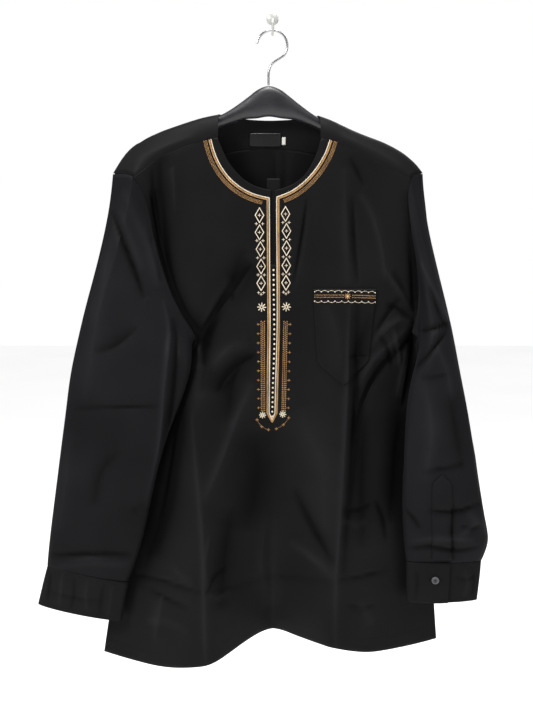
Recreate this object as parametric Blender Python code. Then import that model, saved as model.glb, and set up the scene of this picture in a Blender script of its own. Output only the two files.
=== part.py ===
"""Long-sleeve shirt hanging on a plastic hanger from a small wall hook.

The origin is on the wall, at the middle of the hook's round plate. The shirt's front faces -Y and
+Z is up. Tables are in millimetres: drop is the distance below the origin, depth the distance out
from the wall, and x runs to the viewer's right. Left and right are the viewer's.
"""

import math

import bmesh
import bpy
import numpy as np
from mathutils import Vector
from mathutils.bvhtree import BVHTree

MM = 0.001
CLOTH = 1.6
CUFF_CLOTH = 2.2
TRIM_CLOTH = 1.2
SEAM_GAP = 0.7
SIDE_SEAM_HALF = 0.95
ARMHOLE_GAP = 0.9
SHOULDER_GAP = 1.5
ARMPIT_GAP = 3.0
LAID_GAP = 0.7
# Drop of the front at the slit, and how far the strip behind it stays back
SLIT_TOP = 249.0
UNDER_PLACKET_CLEAR = 0.8
# Drop where the armhole seams leave the yoke
ARMHOLE_TOP = 230.0
# First guesses of where a column meets its top edge and its hem
TOP_GUESS = 230.0
HEM_GUESS = 920.0
# Share of the way to the armpit of the last three rings of an armhole seam
ARMPIT_STEPS = (0.45, 0.8, 1.0)
# Share that stands for the middle columns beside the slit
MIDDLE_SHARE = 1e-6
# How far a crease is rounded off, and how far from the side seams the folds fade in
CREASE_REACH = 16.0
FOLD_CALM = 25.0

HANGER_DEPTH = 45.0
HANGER_CLEAR = 3.4
WIRE_RADIUS = 1.75
PEG_RADIUS = 2.0

NECK_LEFT = -78.0
NECK_RIGHT = 66.0
BACK_NECK_LEFT = -80.0
BACK_NECK_RIGHT = 68.0
SLIT_HALF = 3.3
SLIT_END = 353.0

# Shoulder ridge, seen from the front
RIDGE = {
    "x": (-227, -219, -209, -198, -178, -159, -123, -78, 66, 98, 128, 160, 186, 202, 210, 213),
    "drop": (223, 209, 194, 183, 172, 164, 152, 141, 143, 156, 169, 180, 194, 206, 216, 223),
}

# Top edge of the front: yoke seam, neck curve, yoke seam
FRONT_TOP = {
    "x": (-197, -184, -169, -151, -137, -108, -78, -71, -60, -38, -14, 0,
          14, 42, 57, 63, 68, 90, 113, 137, 173, 187, 194),
    "drop": (230, 222, 208, 200, 192, 183, 176, 194, 214, 237, 247, 249,
             247, 232, 209, 196, 177, 184, 192, 208, 222, 231, 233),
}

# Seam between the yoke and the back
BACK_TOP = {
    "x": (-200, -150, -80, -6, 68, 150, 198),
    "drop": (238, 216, 196, 187, 197, 219, 238),
}

# Back of the neck opening, from corner to corner behind the hanger
BACK_NECK = {
    "x": (-78, -70, -60, -45, -6, 34, 48, 58, 66),
    "drop": (141, 142.5, 144, 146, 148.5, 146.8, 145, 144, 143),
    "depth": (45, 33, 29, 27, 26, 27, 29, 33, 45),
}

# Armhole seams from the shoulder down to the armpit
ARMHOLES = {
    "left": {
        "front": {
            "x": (-227, -210, -197, -185, -178, -169, -162, -147, -128, -109),
            "drop": (223, 227, 230, 243, 262, 313, 343, 391, 430, 456),
            "depth": (45, 60, 66, 65, 63, 60, 58, 56, 54, 52),
        },
        "back": {
            "x": (-227, -212, -200, -190, -184, -176, -160, -135, -109),
            "drop": (223, 231, 238, 262, 313, 350, 400, 438, 456),
            "depth": (45, 29, 22, 19, 17, 17, 21, 35, 52),
        },
    },
    "right": {
        "front": {
            "x": (213, 204, 194, 190, 193, 197, 205, 208, 207, 204),
            "drop": (223, 229, 233, 253, 280, 309, 355, 402, 430, 449),
            "depth": (45, 60, 66, 65, 64, 64, 66, 67, 65, 60),
        },
        "back": {
            "x": (213, 206, 198, 196, 202, 208, 212, 211, 204),
            "drop": (223, 231, 238, 262, 313, 355, 402, 432, 449),
            "depth": (45, 29, 22, 19, 17, 17, 21, 38, 60),
        },
    },
}

# Side seams from the armpit down to the hem
SIDES = {
    "left": {
        "drop": (456, 470, 485, 500, 564, 700, 800, 900, 945),
        "x": (-109, -114, -122, -132, -165, -205, -230, -247, -254),
        "depth": (52, 49, 47, 46, 43, 41, 40, 40, 40),
    },
    "right": {
        "drop": (449, 465, 480, 500, 564, 700, 800, 900, 945),
        "x": (204, 205, 206, 208, 213, 226, 236, 243, 248),
        "depth": (60, 54, 50, 47, 44, 42, 44, 46, 48),
    },
}

# Two packing creases stand forward and the middle of the front falls back between them
CREASES = {
    "drop": (170, 262, 313, 391, 456, 500, 564, 700, 800, 900, 945),
    "x_left": (-100, -100, -100, -95, -80, -98, -116, -106, -101, -97, -96),
    "depth_left": (66, 71, 73, 72, 67, 74, 84, 98, 108, 116, 118),
    "depth_middle": (66, 68, 70, 73, 74, 73, 69, 54, 40, 30, 27),
    "x_right": (85, 90, 95, 100, 104, 106, 107, 103, 92, 90, 90),
    "depth_right": (66, 71, 74, 80, 83, 86, 90, 99, 102, 102, 101),
}

# Soft folds of the front: each runs from one end to the other and fades out at both
FRONT_FOLDS = (
    # x, drop, x, drop, half width, height
    (-108, 452, -12, 338, 13, 5.0),
    (-112, 470, -8, 436, 13, 4.0),
    (-160, 330, -60, 300, 14, 3.0),
    (97, 200, 98, 372, 11, 3.5),
    (200, 440, 128, 356, 13, 4.5),
    (202, 455, 118, 432, 13, 4.0),
    (186, 470, 112, 560, 14, 4.5),
    (60, 650, -84, 800, 20, 6.0),
    (-60, 640, 60, 760, 18, -4.0),
)

# Soft upright folds of the back
BACK_FOLDS = (
    # x, drop, x, drop, half width, height
    (12, 150, 12, 470, 9, -4.0),
    (-120, 430, -150, 960, 20, -5.0),
    (-40, 520, -52, 980, 18, -4.0),
    (60, 500, 70, 980, 20, -5.0),
    (150, 430, 176, 960, 18, -4.5),
    (-90, 560, -100, 980, 16, 4.0),
    (110, 560, 122, 980, 16, 4.0),
)

BACK_DEPTH = {
    "drop": (150, 187, 240, 313, 456, 700, 945),
    "depth": (26, 24, 21, 17, 15, 14, 14),
}
BACK_TURN = 45.0

FRONT_HEM = {
    "x": (-254, -210, -167, -97, -72, -49, -13, 10, 36, 62, 88, 146, 207, 248),
    "drop": (932, 936, 938, 926, 920, 910, 899, 898, 901, 903, 905, 917, 914, 909),
}
BACK_HEM = {
    "x": (-254, -120, 0, 120, 248),
    "drop": (932, 912, 897, 904, 909),
}

# Columns of the front, named by where they start on its top edge
FRONT_COLUMNS_LEFT = (-197, -183, -166, -148, -130, -112, -95, -78, -71, -65, -60, -49, -38,
                      -26, -14)
FRONT_COLUMNS_RIGHT = (14, 28, 42, 50, 57, 63, 68, 82, 97, 113, 129, 146, 163, 180, 194)
NECK_COLUMNS = 12
ROWS_ABOVE_ARMPIT = 10
ROWS_BELOW_ARMPIT = 12
TOP_ROWS_CLOSER = 1.3

# Sleeve rings below the armhole. The outer edge is the arm's fold, the inner edge the underarm seam
SLEEVES = {
    "left": (
        # outer x, drop, depth, inner x, drop, depth, half depth of the tube, share of armhole
        (-232, 271, 46, -116, 462, 56, 15, 0.80),
        (-245, 327, 48, -117, 468, 60, 17, 0.58),
        (-257, 372, 50, -117, 474, 64, 18, 0.38),
        (-270, 418, 53, -117, 481, 67, 18, 0.20),
        (-280, 460, 56, -117, 489, 70, 18, 0.08),
        (-290, 503, 58, -118, 502, 72, 17, 0.0),
        (-295, 535, 59, -126, 532, 74, 16, 0.0),
        (-299, 567, 60, -140, 567, 75, 15, 0.0),
        (-306, 613, 60, -158, 613, 75, 15, 0.0),
        (-315, 676, 60, -174, 676, 74, 14, 0.0),
        (-324, 735, 58, -186, 737, 72, 13, 0.0),
        (-328, 768, 57, -199, 779, 71, 13, 0.0),
        (-331, 795, 56, -213, 816, 70, 12, 0.0),
    ),
    "right": (
        (214, 246, 45, 208, 454, 61, 24, 0.85),
        (221, 290, 47, 209, 459, 64, 30, 0.66),
        (230, 332, 50, 209, 464, 68, 34, 0.48),
        (240, 374, 54, 209, 470, 72, 36, 0.32),
        (250, 416, 60, 208, 478, 77, 36, 0.18),
        (259, 458, 66, 205, 488, 81, 34, 0.07),
        (267, 505, 74, 199, 507, 84, 29, 0.0),
        (276, 547, 79, 190, 547, 86, 24, 0.0),
        (287, 607, 82, 188, 607, 86, 19, 0.0),
        (292, 644, 82, 187, 646, 85, 18, 0.0),
        (300, 688, 81, 187, 688, 84, 17, 0.0),
        (306, 720, 80, 188, 720, 83, 16, 0.0),
        (313, 748, 79, 190, 748, 82, 16, 0.0),
        (308, 766, 78, 193, 768, 81, 14, 0.0),
        (303, 780, 77, 195, 782, 80, 12, 0.0),
    ),
}

CUFFS = {
    "left": (
        # outer x, drop, depth, inner x, drop, depth, half depth
        (-331, 795, 56, -213, 816, 70, 12),
        (-336, 814, 57, -217, 835, 69, 12),
        (-341, 834, 57, -221, 855, 68, 12),
        (-346, 853, 57, -224, 874, 67, 12),
    ),
    "right": (
        (303, 780, 77, 195, 782, 80, 12),
        (302, 800, 77, 195, 801, 80, 12),
        (300, 820, 77, 196, 821, 80, 12),
        (298, 839, 77, 196, 841, 80, 12),
    ),
}
CUFF_STEPS = 15
YOKE_STEPS = 5
# Step round the cuff where its upper end lies, the way it wraps, and how many steps it laps
CUFF_START = {"left": 23, "right": 7}
CUFF_WRAP = {"left": -1, "right": 1}
CUFF_LAP_STEPS = 3

SLEEVE_PLACKETS = {
    # middle x at the top and at the cuff, drop of the point, shoulder and cuff end, half width
    "left": {"x": (-259, -271), "drop": (662, 674, 800), "half_width": 13.5, "side": "back"},
    "right": {"x": (240, 243), "drop": (650, 662, 776), "half_width": 13.5, "side": "front"},
}
BUTTONS = {
    "left": {"x": -257, "drop": 836, "side": "back"},
    "right": {"x": 234, "drop": 806, "side": "front"},
}
BUTTON_RADIUS = 5.5
BUTTON_THICK = 2.4
BUTTON_PROFILE = ((0.0, 0.6), (0.45, 0.6), (0.62, 1.0), (0.86, 1.0), (1.0, 0.6), (1.0, 0.0),
                  (0.0, 0.0))

POCKET = {
    "top_left": (57, 388), "top_right": (146, 388),
    "bottom_left": (64, 492), "bottom_right": (136, 489), "point": (101, 523),
}
POCKET_COLUMNS = 14
POCKET_ROWS = 13

UNDER_PLACKET = {"x": (-8, 10), "drop": (233, 372)}
LABEL = {"x": (-33, 12), "drop": (166, 184)}
SIZE_TAB = {"x": (13.4, 18.6), "drop": (171, 182)}

# Hanger seen from the front, from one arm's end to the other
HANGER = {
    "x": (-188, -176, -155, -120, -78, -41, -22, -6, 12, 32, 66, 105, 140, 162, 174),
    "top": (0, 0, 0, 0, 0, 121, 107, 101, 107, 122, 0, 0, 0, 0, 0),
    "height": (10, 19, 20, 19, 17, 27, 40, 43, 40, 27, 17, 19, 20, 19, 10),
    "half_depth": (4, 6, 7, 8, 8, 8, 8, 8, 8, 8, 8, 8, 7, 6, 4),
}
HANGER_SIDES = 12
HANGER_TIP_DROP = 5.0

WIRE_CENTRE = (-1.0, 46.0)
WIRE_BEND = 21.6
WIRE_SHANK = ((2.0, 67.5), (-4.0, 74.0), (-6.0, 82.0), (-6.0, 90.0), (-6.0, 100.3))
WALL_PLATE_RADIUS = 9.0
WALL_PLATE_THICK = 4.0
PEG_ROUTE = (
    # depth, drop
    (4.4, 2.0), (9.0, 2.0), (14.0, 7.0), (18.0, 17.0), (24.0, 25.0), (33.0, 28.4),
    (44.0, 28.6), (52.0, 27.0), (57.0, 22.0), (58.5, 16.0),
)

FINISHES = {
    # colour, roughness, metallic
    "black_cloth": ((0.012, 0.012, 0.013), 0.62, 0.0),
    "hanger_plastic": ((0.020, 0.020, 0.022), 0.34, 0.0),
    "hook_wire": ((0.55, 0.55, 0.56), 0.25, 1.0),
    "hook_plastic": ((0.80, 0.80, 0.78), 0.30, 0.0),
    "button_plastic": ((0.10, 0.10, 0.11), 0.25, 0.0),
    "label_cloth": ((0.020, 0.020, 0.022), 0.70, 0.0),
    "tab_cloth": ((0.75, 0.74, 0.70), 0.75, 0.0),
}


def clear_scene():
    """Remove every object of the open scene."""
    for thing in list(bpy.data.objects):
        bpy.data.objects.remove(thing, do_unlink=True)


def finish(name):
    """Return the named material, made on first use."""
    material = bpy.data.materials.get(name)
    if material is None:
        colour, roughness, metallic = FINISHES[name]
        material = bpy.data.materials.new(name)
        material.use_nodes = True
        shader = material.node_tree.nodes["Principled BSDF"]
        shader.inputs["Base Color"].default_value = (*colour, 1.0)
        shader.inputs["Roughness"].default_value = roughness
        shader.inputs["Metallic"].default_value = metallic
    return material


def place(x, drop, depth):
    """Turn x, drop and depth into a point with +Y towards the wall and +Z up."""
    return np.array([x, -depth, -drop], dtype=float)


def smooth(xs, ys, at):
    """Read a table along a soft curve through its rows."""
    xs = np.asarray(xs, dtype=float)
    ys = np.asarray(ys, dtype=float)
    at = float(np.clip(at, xs[0], xs[-1]))
    steps = np.diff(ys) / np.diff(xs)
    slopes = np.zeros(len(xs))
    slopes[0] = steps[0]
    slopes[-1] = steps[-1]
    for i in range(1, len(xs) - 1):
        if steps[i - 1] * steps[i] > 0.0:
            slopes[i] = 2.0 * steps[i - 1] * steps[i] / (steps[i - 1] + steps[i])
    i = int(np.clip(np.searchsorted(xs, at, side="right") - 1, 0, len(xs) - 2))
    width = xs[i + 1] - xs[i]
    t = (at - xs[i]) / width
    return ((2 * t ** 3 - 3 * t ** 2 + 1) * ys[i] + (t ** 3 - 2 * t ** 2 + t) * width * slopes[i]
            + (3 * t ** 2 - 2 * t ** 3) * ys[i + 1] + (t ** 3 - t ** 2) * width * slopes[i + 1])


def read(table, wanted, key, at):
    """Read one column of a table at a place in another column."""
    return smooth(table[key], table[wanted], at)


def add_object(name, verts, faces, material):
    """Make a closed mesh object from points in millimetres."""
    mesh = bpy.data.meshes.new(name)
    mesh.from_pydata([tuple(np.asarray(v) * MM) for v in verts], [], faces)
    shape = bmesh.new()
    shape.from_mesh(mesh)
    bmesh.ops.recalc_face_normals(shape, faces=shape.faces)
    if shape.calc_volume(signed=True) < 0.0:
        bmesh.ops.reverse_faces(shape, faces=shape.faces)
    shape.to_mesh(mesh)
    shape.free()
    mesh.shade_smooth()
    mesh.set_sharp_from_angle(angle=math.radians(40))
    thing = bpy.data.objects.new(name, mesh)
    thing.data.materials.append(finish(material))
    bpy.context.scene.collection.objects.link(thing)
    return thing


def grid_normals(points, ring):
    """Return unit normals of a grid of points, which may close round its first direction."""
    if ring:
        along = np.roll(points, -1, axis=0) - np.roll(points, 1, axis=0)
    else:
        along = np.gradient(points, axis=0)
    across = np.gradient(points, axis=1)
    normals = np.cross(along, across)
    lengths = np.linalg.norm(normals, axis=2, keepdims=True)
    return normals / np.maximum(lengths, 1e-9)


def wall(name, points, thickness, material, ring=False, keep=None):
    """Give a grid of middle points a wall's thickness and close it along its edges."""
    points = np.asarray(points, dtype=float)
    columns, rows = points.shape[:2]
    normals = grid_normals(points, ring)
    outer = points + normals * thickness / 2
    inner = points - normals * thickness / 2
    cells_across = columns if ring else columns - 1
    if keep is None:
        keep = np.ones((cells_across, rows - 1), dtype=bool)
    used = {}
    verts = []

    def vertex(side, i, j):
        key = (side, i % columns, j)
        if key not in used:
            used[key] = len(verts)
            verts.append((outer if side == "outer" else inner)[key[1], j])
        return used[key]

    def kept(i, j):
        if ring:
            i %= columns
        return 0 <= i < cells_across and 0 <= j < rows - 1 and keep[i, j]

    faces = []
    for i in range(cells_across):
        for j in range(rows - 1):
            if not keep[i, j]:
                continue
            corners = [(i, j), (i + 1, j), (i + 1, j + 1), (i, j + 1)]
            faces.append([vertex("outer", *c) for c in corners])
            faces.append([vertex("inner", *c) for c in reversed(corners)])
            neighbours = [(i, j - 1), (i + 1, j), (i, j + 1), (i - 1, j)]
            for k, neighbour in enumerate(neighbours):
                if not kept(*neighbour):
                    a = corners[k]
                    b = corners[(k + 1) % 4]
                    faces.append([vertex("outer", *b), vertex("outer", *a),
                                  vertex("inner", *a), vertex("inner", *b)])
    return add_object(name, verts, faces, material)


def fold_height(folds, x, drop):
    """Add up the soft folds at a place on a panel."""
    total = 0.0
    for x0, drop0, x1, drop1, half_width, height in folds:
        run = np.array([x1 - x0, drop1 - drop0], dtype=float)
        length = np.linalg.norm(run)
        offset = np.array([x - x0, drop - drop0], dtype=float)
        t = float(offset @ run) / length ** 2
        if not 0.0 < t < 1.0:
            continue
        aside = abs(run[0] * offset[1] - run[1] * offset[0]) / length
        fade = math.sin(math.pi * t) ** 0.6
        total += height * fade * math.exp(-(aside / half_width) ** 2)
    return total


def edge(side, face, drop):
    """Return x and depth of a panel's edge: the armhole seam, then the side seam."""
    armhole = ARMHOLES[side][face]
    start = next(i for i in range(len(armhole["drop"])) if armhole["drop"][i] >= ARMHOLE_TOP)
    if drop <= armhole["drop"][-1]:
        rows = {key: armhole[key][start:] for key in armhole}
        return read(rows, "x", "drop", drop), read(rows, "depth", "drop", drop)
    return read(SIDES[side], "x", "drop", drop), read(SIDES[side], "depth", "drop", drop)


def front_depth(x, drop):
    """Depth of the front's middle surface."""
    left, left_depth = edge("left", "front", drop)
    right, right_depth = edge("right", "front", drop)
    stations = [left, read(CREASES, "x_left", "drop", drop), 0.0,
                read(CREASES, "x_right", "drop", drop), right]
    depths = [left_depth + SIDE_SEAM_HALF, read(CREASES, "depth_left", "drop", drop),
              read(CREASES, "depth_middle", "drop", drop),
              read(CREASES, "depth_right", "drop", drop), right_depth + SIDE_SEAM_HALF]
    room = max(0.0, min(x - left, right - x))
    reach = min(CREASE_REACH, room)
    taps = np.linspace(-1.0, 1.0, 9)
    weights = 1.0 - 0.8 * np.abs(taps)
    depth = float(np.average(np.interp(x + reach * taps, stations, depths), weights=weights))
    calm = min(1.0, room / FOLD_CALM)
    return depth + calm * fold_height(FRONT_FOLDS, x, drop)


def back_depth(x, drop):
    """Depth of the back's middle surface."""
    left, left_depth = edge("left", "back", drop)
    right, right_depth = edge("right", "back", drop)
    middle = read(BACK_DEPTH, "depth", "drop", drop)
    room = max(0.0, min(x - left, right - x))
    edge_depth = left_depth if x - left < right - x else right_depth
    t = min(1.0, room / BACK_TURN)
    blend = math.sin(t * math.pi / 2)
    depth = edge_depth - SIDE_SEAM_HALF + (middle - edge_depth + SIDE_SEAM_HALF) * blend
    return depth + blend * fold_height(BACK_FOLDS, x, drop)


def front_x(share, drop):
    """Return x of a front column: share -1 is the left edge, +1 the right edge."""
    left = edge("left", "front", drop)[0]
    right = edge("right", "front", drop)[0]
    if share < 0.0:
        return -SLIT_HALF + (left + SLIT_HALF) * -share
    return SLIT_HALF + (right - SLIT_HALF) * share


def column_line(share, top, hem, x_of, depth_of, armpit_drop):
    """Points of one column of a panel, from its top edge past the armpit to its hem."""
    start = TOP_GUESS
    for _ in range(30):
        start = 0.5 * start + 0.5 * (read(top, "drop", "x", x_of(share, start)) + SEAM_GAP / 2)
    end = HEM_GUESS
    for _ in range(12):
        end = read(hem, "drop", "x", x_of(share, end))
    drops = [start + (armpit_drop - start) * (k / ROWS_ABOVE_ARMPIT) ** TOP_ROWS_CLOSER
             for k in range(ROWS_ABOVE_ARMPIT)]
    drops += [armpit_drop + (end - armpit_drop) * k / ROWS_BELOW_ARMPIT
              for k in range(ROWS_BELOW_ARMPIT + 1)]
    return [place(x_of(share, drop), drop, depth_of(x_of(share, drop), drop)) for drop in drops]


def armpit_at(across):
    """Drop of the armpit line, from 0 at the left side to 1 at the right."""
    left = ARMHOLES["left"]["front"]["drop"][-1]
    right = ARMHOLES["right"]["front"]["drop"][-1]
    return left + (right - left) * across


def front_grid():
    """Middle points of the front, column by column."""
    shares = [-(x + SLIT_HALF) / (FRONT_COLUMNS_LEFT[0] + SLIT_HALF) for x in FRONT_COLUMNS_LEFT]
    shares += [-MIDDLE_SHARE, MIDDLE_SHARE]
    shares += [(x - SLIT_HALF) / (FRONT_COLUMNS_RIGHT[-1] - SLIT_HALF) for x in FRONT_COLUMNS_RIGHT]
    return np.array([column_line(s, FRONT_TOP, FRONT_HEM, front_x, front_depth,
                                 armpit_at((s + 1.0) / 2.0)) for s in shares])


def build_front(points):
    """Front panel with its neck curve and the slit down the middle."""
    keep = np.ones((points.shape[0] - 1, points.shape[1] - 1), dtype=bool)
    slit = len(FRONT_COLUMNS_LEFT)
    for j in range(points.shape[1] - 1):
        middle_drop = -(points[slit][j][2] + points[slit][j + 1][2]) / 2
        if middle_drop < SLIT_END:
            keep[slit, j] = False
    return wall("front", points, CLOTH, "black_cloth", keep=keep)


def back_x(share, drop):
    """Return x of a back column: share 0 is the left edge, 1 the right edge."""
    left = edge("left", "back", drop)[0]
    right = edge("right", "back", drop)[0]
    return left + (right - left) * share


def yoke_shares():
    """Where the yoke's columns stand between neck and shoulder end, for each side."""
    left = [x for x in FRONT_COLUMNS_LEFT if x <= NECK_LEFT]
    right = [x for x in FRONT_COLUMNS_RIGHT if x >= NECK_RIGHT]
    return ([(x - left[0]) / (left[-1] - left[0]) for x in left],
            [(x - right[0]) / (right[-1] - right[0]) for x in right])


def back_seam_places():
    """Return x of the back's columns along the yoke seam."""
    left, right = yoke_shares()
    outer_left, outer_right = BACK_TOP["x"][0], BACK_TOP["x"][-1]
    places = [outer_left + (BACK_NECK_LEFT - outer_left) * t for t in left]
    for i in range(1, NECK_COLUMNS):
        t = 0.5 - 0.5 * math.cos(math.pi * i / NECK_COLUMNS)
        places.append(BACK_NECK_LEFT + (BACK_NECK_RIGHT - BACK_NECK_LEFT) * t)
    places += [BACK_NECK_RIGHT + (outer_right - BACK_NECK_RIGHT) * t for t in right]
    return places


def back_grid():
    """Middle points of the back, column by column."""
    outer_left, outer_right = BACK_TOP["x"][0], BACK_TOP["x"][-1]
    shares = [(x - outer_left) / (outer_right - outer_left) for x in back_seam_places()]
    return np.array([column_line(s, BACK_TOP, BACK_HEM, back_x, back_depth, armpit_at(s))
                     for s in shares])


def yoke_column(front_point, ridge, back_point):
    """Points of one yoke column, over the ridge from the front seam to the back seam."""
    line = []
    for target, order in ((front_point, range(YOKE_STEPS, 0, -1)),
                          (back_point, range(0, YOKE_STEPS + 1))):
        for k in order:
            angle = math.pi / 2 * k / YOKE_STEPS
            across = math.sin(angle)
            down = 1.0 - math.cos(angle)
            line.append(ridge + (target - ridge) * np.array([across, across, down]))
    return line


def ridge_point(x):
    """Return a point of the yoke's ridge."""
    return place(x, read(RIDGE, "drop", "x", x) + CLOTH / 2, HANGER_DEPTH)


def yoke_grid(front, back):
    """Middle points of the yoke: over both shoulders, and round the back of the neck."""
    seam_lift = np.array([0.0, 0.0, SEAM_GAP])
    left, right = yoke_shares()
    columns = []
    for i, t in enumerate(left):
        x = RIDGE["x"][0] + (NECK_LEFT - RIDGE["x"][0]) * t
        columns.append(yoke_column(front[i][0] + seam_lift, ridge_point(x),
                                   back[i][0] + seam_lift))
    for i in range(1, NECK_COLUMNS):
        t = 0.5 - 0.5 * math.cos(math.pi * i / NECK_COLUMNS)
        x = NECK_LEFT + (NECK_RIGHT - NECK_LEFT) * t
        top = place(x, read(BACK_NECK, "drop", "x", x), read(BACK_NECK, "depth", "x", x))
        low = back[len(columns)][0] + seam_lift
        columns.append(yoke_column(top, top, low))
    first_front = len(front) - len(right)
    for i, t in enumerate(right):
        x = NECK_RIGHT + (RIDGE["x"][-1] - NECK_RIGHT) * t
        columns.append(yoke_column(front[first_front + i][0] + seam_lift, ridge_point(x),
                                   back[len(columns)][0] + seam_lift))
    return np.array(columns)


def build_yoke(points):
    """Yoke in one piece, cut out at the neck."""
    keep = np.ones((points.shape[0] - 1, points.shape[1] - 1), dtype=bool)
    neck_start = len(yoke_shares()[0]) - 1
    keep[neck_start:neck_start + NECK_COLUMNS, :YOKE_STEPS] = False
    return wall("yoke", points, CLOTH, "black_cloth", keep=keep)


def armhole_line(yoke_edge, panel_edge):
    """Points of an armhole seam from the ridge down to the armpit, along the pieces' own edges."""
    line = list(yoke_edge[:-1]) + [(yoke_edge[-1] + panel_edge[0]) / 2] + list(panel_edge[1:-1])
    last, armpit = panel_edge[-2], panel_edge[-1]
    line += [last + (armpit - last) * t for t in ARMPIT_STEPS]
    return np.array(line)


def armhole_seams(side, front, back, yoke):
    """Front and back armhole seams of one side. They meet at the ridge and at the armpit."""
    column = 0 if side == "left" else -1
    rows = slice(0, ROWS_ABOVE_ARMPIT + 1)
    front_seam = armhole_line(yoke[column][YOKE_STEPS::-1], front[column][rows])
    back_seam = armhole_line(yoke[column][YOKE_STEPS:], back[column][rows])
    armpit = (front_seam[-1] + back_seam[-1]) / 2
    for seam in (front_seam, back_seam):
        seam[-1] = armpit
    return front_seam, back_seam


def length_shares(line):
    """Share of a line's length at each of its points."""
    lengths = np.concatenate([[0.0], np.cumsum(np.linalg.norm(np.diff(line, axis=0), axis=1))])
    return lengths / lengths[-1]


def flat_ring(row, front_steps, back_steps, bends=None):
    """One ring of a flattened tube: the front layer outer to inner, then the back layer.

    A row holds the outer fold's x, drop and depth, the inner fold's, and the half depth. A
    sleeve's row ends with the share of the armhole's bend that is still in this ring.
    """
    outer, inner, half_depth = place(*row[0:3]), place(*row[3:6]), row[6]
    share = row[7] if bends is not None else 0.0
    ring = []
    for layer, steps in enumerate((front_steps, back_steps)):
        order = range(len(steps)) if layer == 0 else range(len(steps) - 2, 0, -1)
        for k in order:
            t = steps[k]
            swell = half_depth * math.sqrt(max(0.0, math.sin(math.pi * t))) * (1.0 - share)
            point = outer + (inner - outer) * t
            point = point + np.array([0.0, -swell if layer == 0 else swell, 0.0])
            if bends is not None:
                point = point + share * bends[layer][k]
            ring.append(point)
    return np.array(ring)


def build_sleeve(side, front, back, yoke):
    """Sleeve: a tube from the armhole down to the cuff seam."""
    seams = armhole_seams(side, front, back, yoke)
    steps = [length_shares(seam) for seam in seams]
    bends = [seam - (seam[0] + (seam[-1] - seam[0]) * t[:, None])
             for seam, t in zip(seams, steps)]
    rings = [np.concatenate([seams[0], seams[1][-2:0:-1]])]
    rings += [flat_ring(row, *steps, bends) for row in SLEEVES[side]]
    along = np.roll(rings[0], -1, axis=0) - np.roll(rings[0], 1, axis=0)
    along /= np.linalg.norm(along, axis=1, keepdims=True)
    away = rings[1] - rings[0]
    away -= along * np.sum(away * along, axis=1, keepdims=True)
    away /= np.linalg.norm(away, axis=1, keepdims=True)
    shares = np.concatenate([steps[0], steps[1][-2:0:-1]])
    gaps = (ARMHOLE_GAP + (SHOULDER_GAP - ARMHOLE_GAP) * (1.0 - shares) ** 8
            + (ARMPIT_GAP - ARMHOLE_GAP) * shares ** 8)
    rings[0] = rings[0] + away * gaps[:, None]
    rings[-1] = rings[-1] + np.array([0.0, 0.0, SEAM_GAP / 2])
    return wall("sleeve_" + side, np.array(rings).transpose(1, 0, 2), CLOTH, "black_cloth",
                ring=True)


def build_cuff(side):
    """Cuff: a band wrapped round the sleeve's end, its two ends lapped."""
    steps = [0.5 - 0.5 * math.cos(math.pi * k / CUFF_STEPS) for k in range(CUFF_STEPS + 1)]
    rings = [flat_ring(row, steps, steps) for row in CUFFS[side]]
    rings[0] = rings[0] - np.array([0.0, 0.0, SEAM_GAP / 2])
    grid = np.array(rings).transpose(1, 0, 2)
    around = len(grid)
    normals = grid_normals(grid, True)
    if np.sum(normals * (grid - grid.mean(axis=0))) < 0.0:
        normals = -normals
    count = around + CUFF_LAP_STEPS + 1
    points = []
    for k in range(count):
        index = (CUFF_START[side] + CUFF_WRAP[side] * k) % around
        lift = (CUFF_CLOTH + LAID_GAP) * (count / 2 - k) / around
        points.append(grid[index] + normals[index] * lift)
    return wall("cuff_" + side, points, CUFF_CLOTH, "black_cloth")


def surface_of(thing):
    """Return a tree for finding places on a finished piece."""
    shape = bmesh.new()
    shape.from_mesh(thing.data)
    tree = BVHTree.FromBMesh(shape)
    shape.free()
    return tree


def lay_on(name, base, spots, thickness, material, start_depth, towards_wall=True):
    """Lay a thin piece on another: its under side follows the first surface met."""
    tree = surface_of(base)
    sign = 1.0 if towards_wall else -1.0
    points = []
    for column in spots:
        line = []
        for x, drop in column:
            start = Vector((x * MM, -start_depth * MM, -drop * MM))
            hit = tree.ray_cast(start, Vector((0.0, sign, 0.0)))[0]
            y = hit.y / MM - sign * (LAID_GAP + thickness / 2)
            line.append(np.array([x, y, -drop]))
        points.append(line)
    return wall(name, points, thickness, material)


def outline_spots(left_of, right_of, drops_of, columns, rows):
    """Return a grid of places between a left and a right line."""
    spots = []
    for i in range(columns + 1):
        s = i / columns
        column = []
        for j in range(rows + 1):
            t = j / rows
            x = left_of(t) + (right_of(t) - left_of(t)) * s
            column.append((x, drops_of(s, t)))
        spots.append(column)
    return spots


def build_pocket(front):
    """Pointed chest pocket on the viewer's right."""
    top_left, top_right = POCKET["top_left"], POCKET["top_right"]
    low_left, low_right = POCKET["bottom_left"], POCKET["bottom_right"]
    point = POCKET["point"]

    def left_of(t):
        return top_left[0] + (low_left[0] - top_left[0]) * t

    def right_of(t):
        return top_right[0] + (low_right[0] - top_right[0]) * t

    def drops_of(s, t):
        low = np.interp(left_of(1.0) + (right_of(1.0) - left_of(1.0)) * s,
                        [low_left[0], point[0], low_right[0]],
                        [low_left[1], point[1], low_right[1]])
        high = top_left[1] + (top_right[1] - top_left[1]) * s
        return high + (low - high) * t

    spots = outline_spots(left_of, right_of, drops_of, POCKET_COLUMNS, POCKET_ROWS)
    return lay_on("pocket", front, spots, CLOTH, "black_cloth", 200.0)


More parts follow.
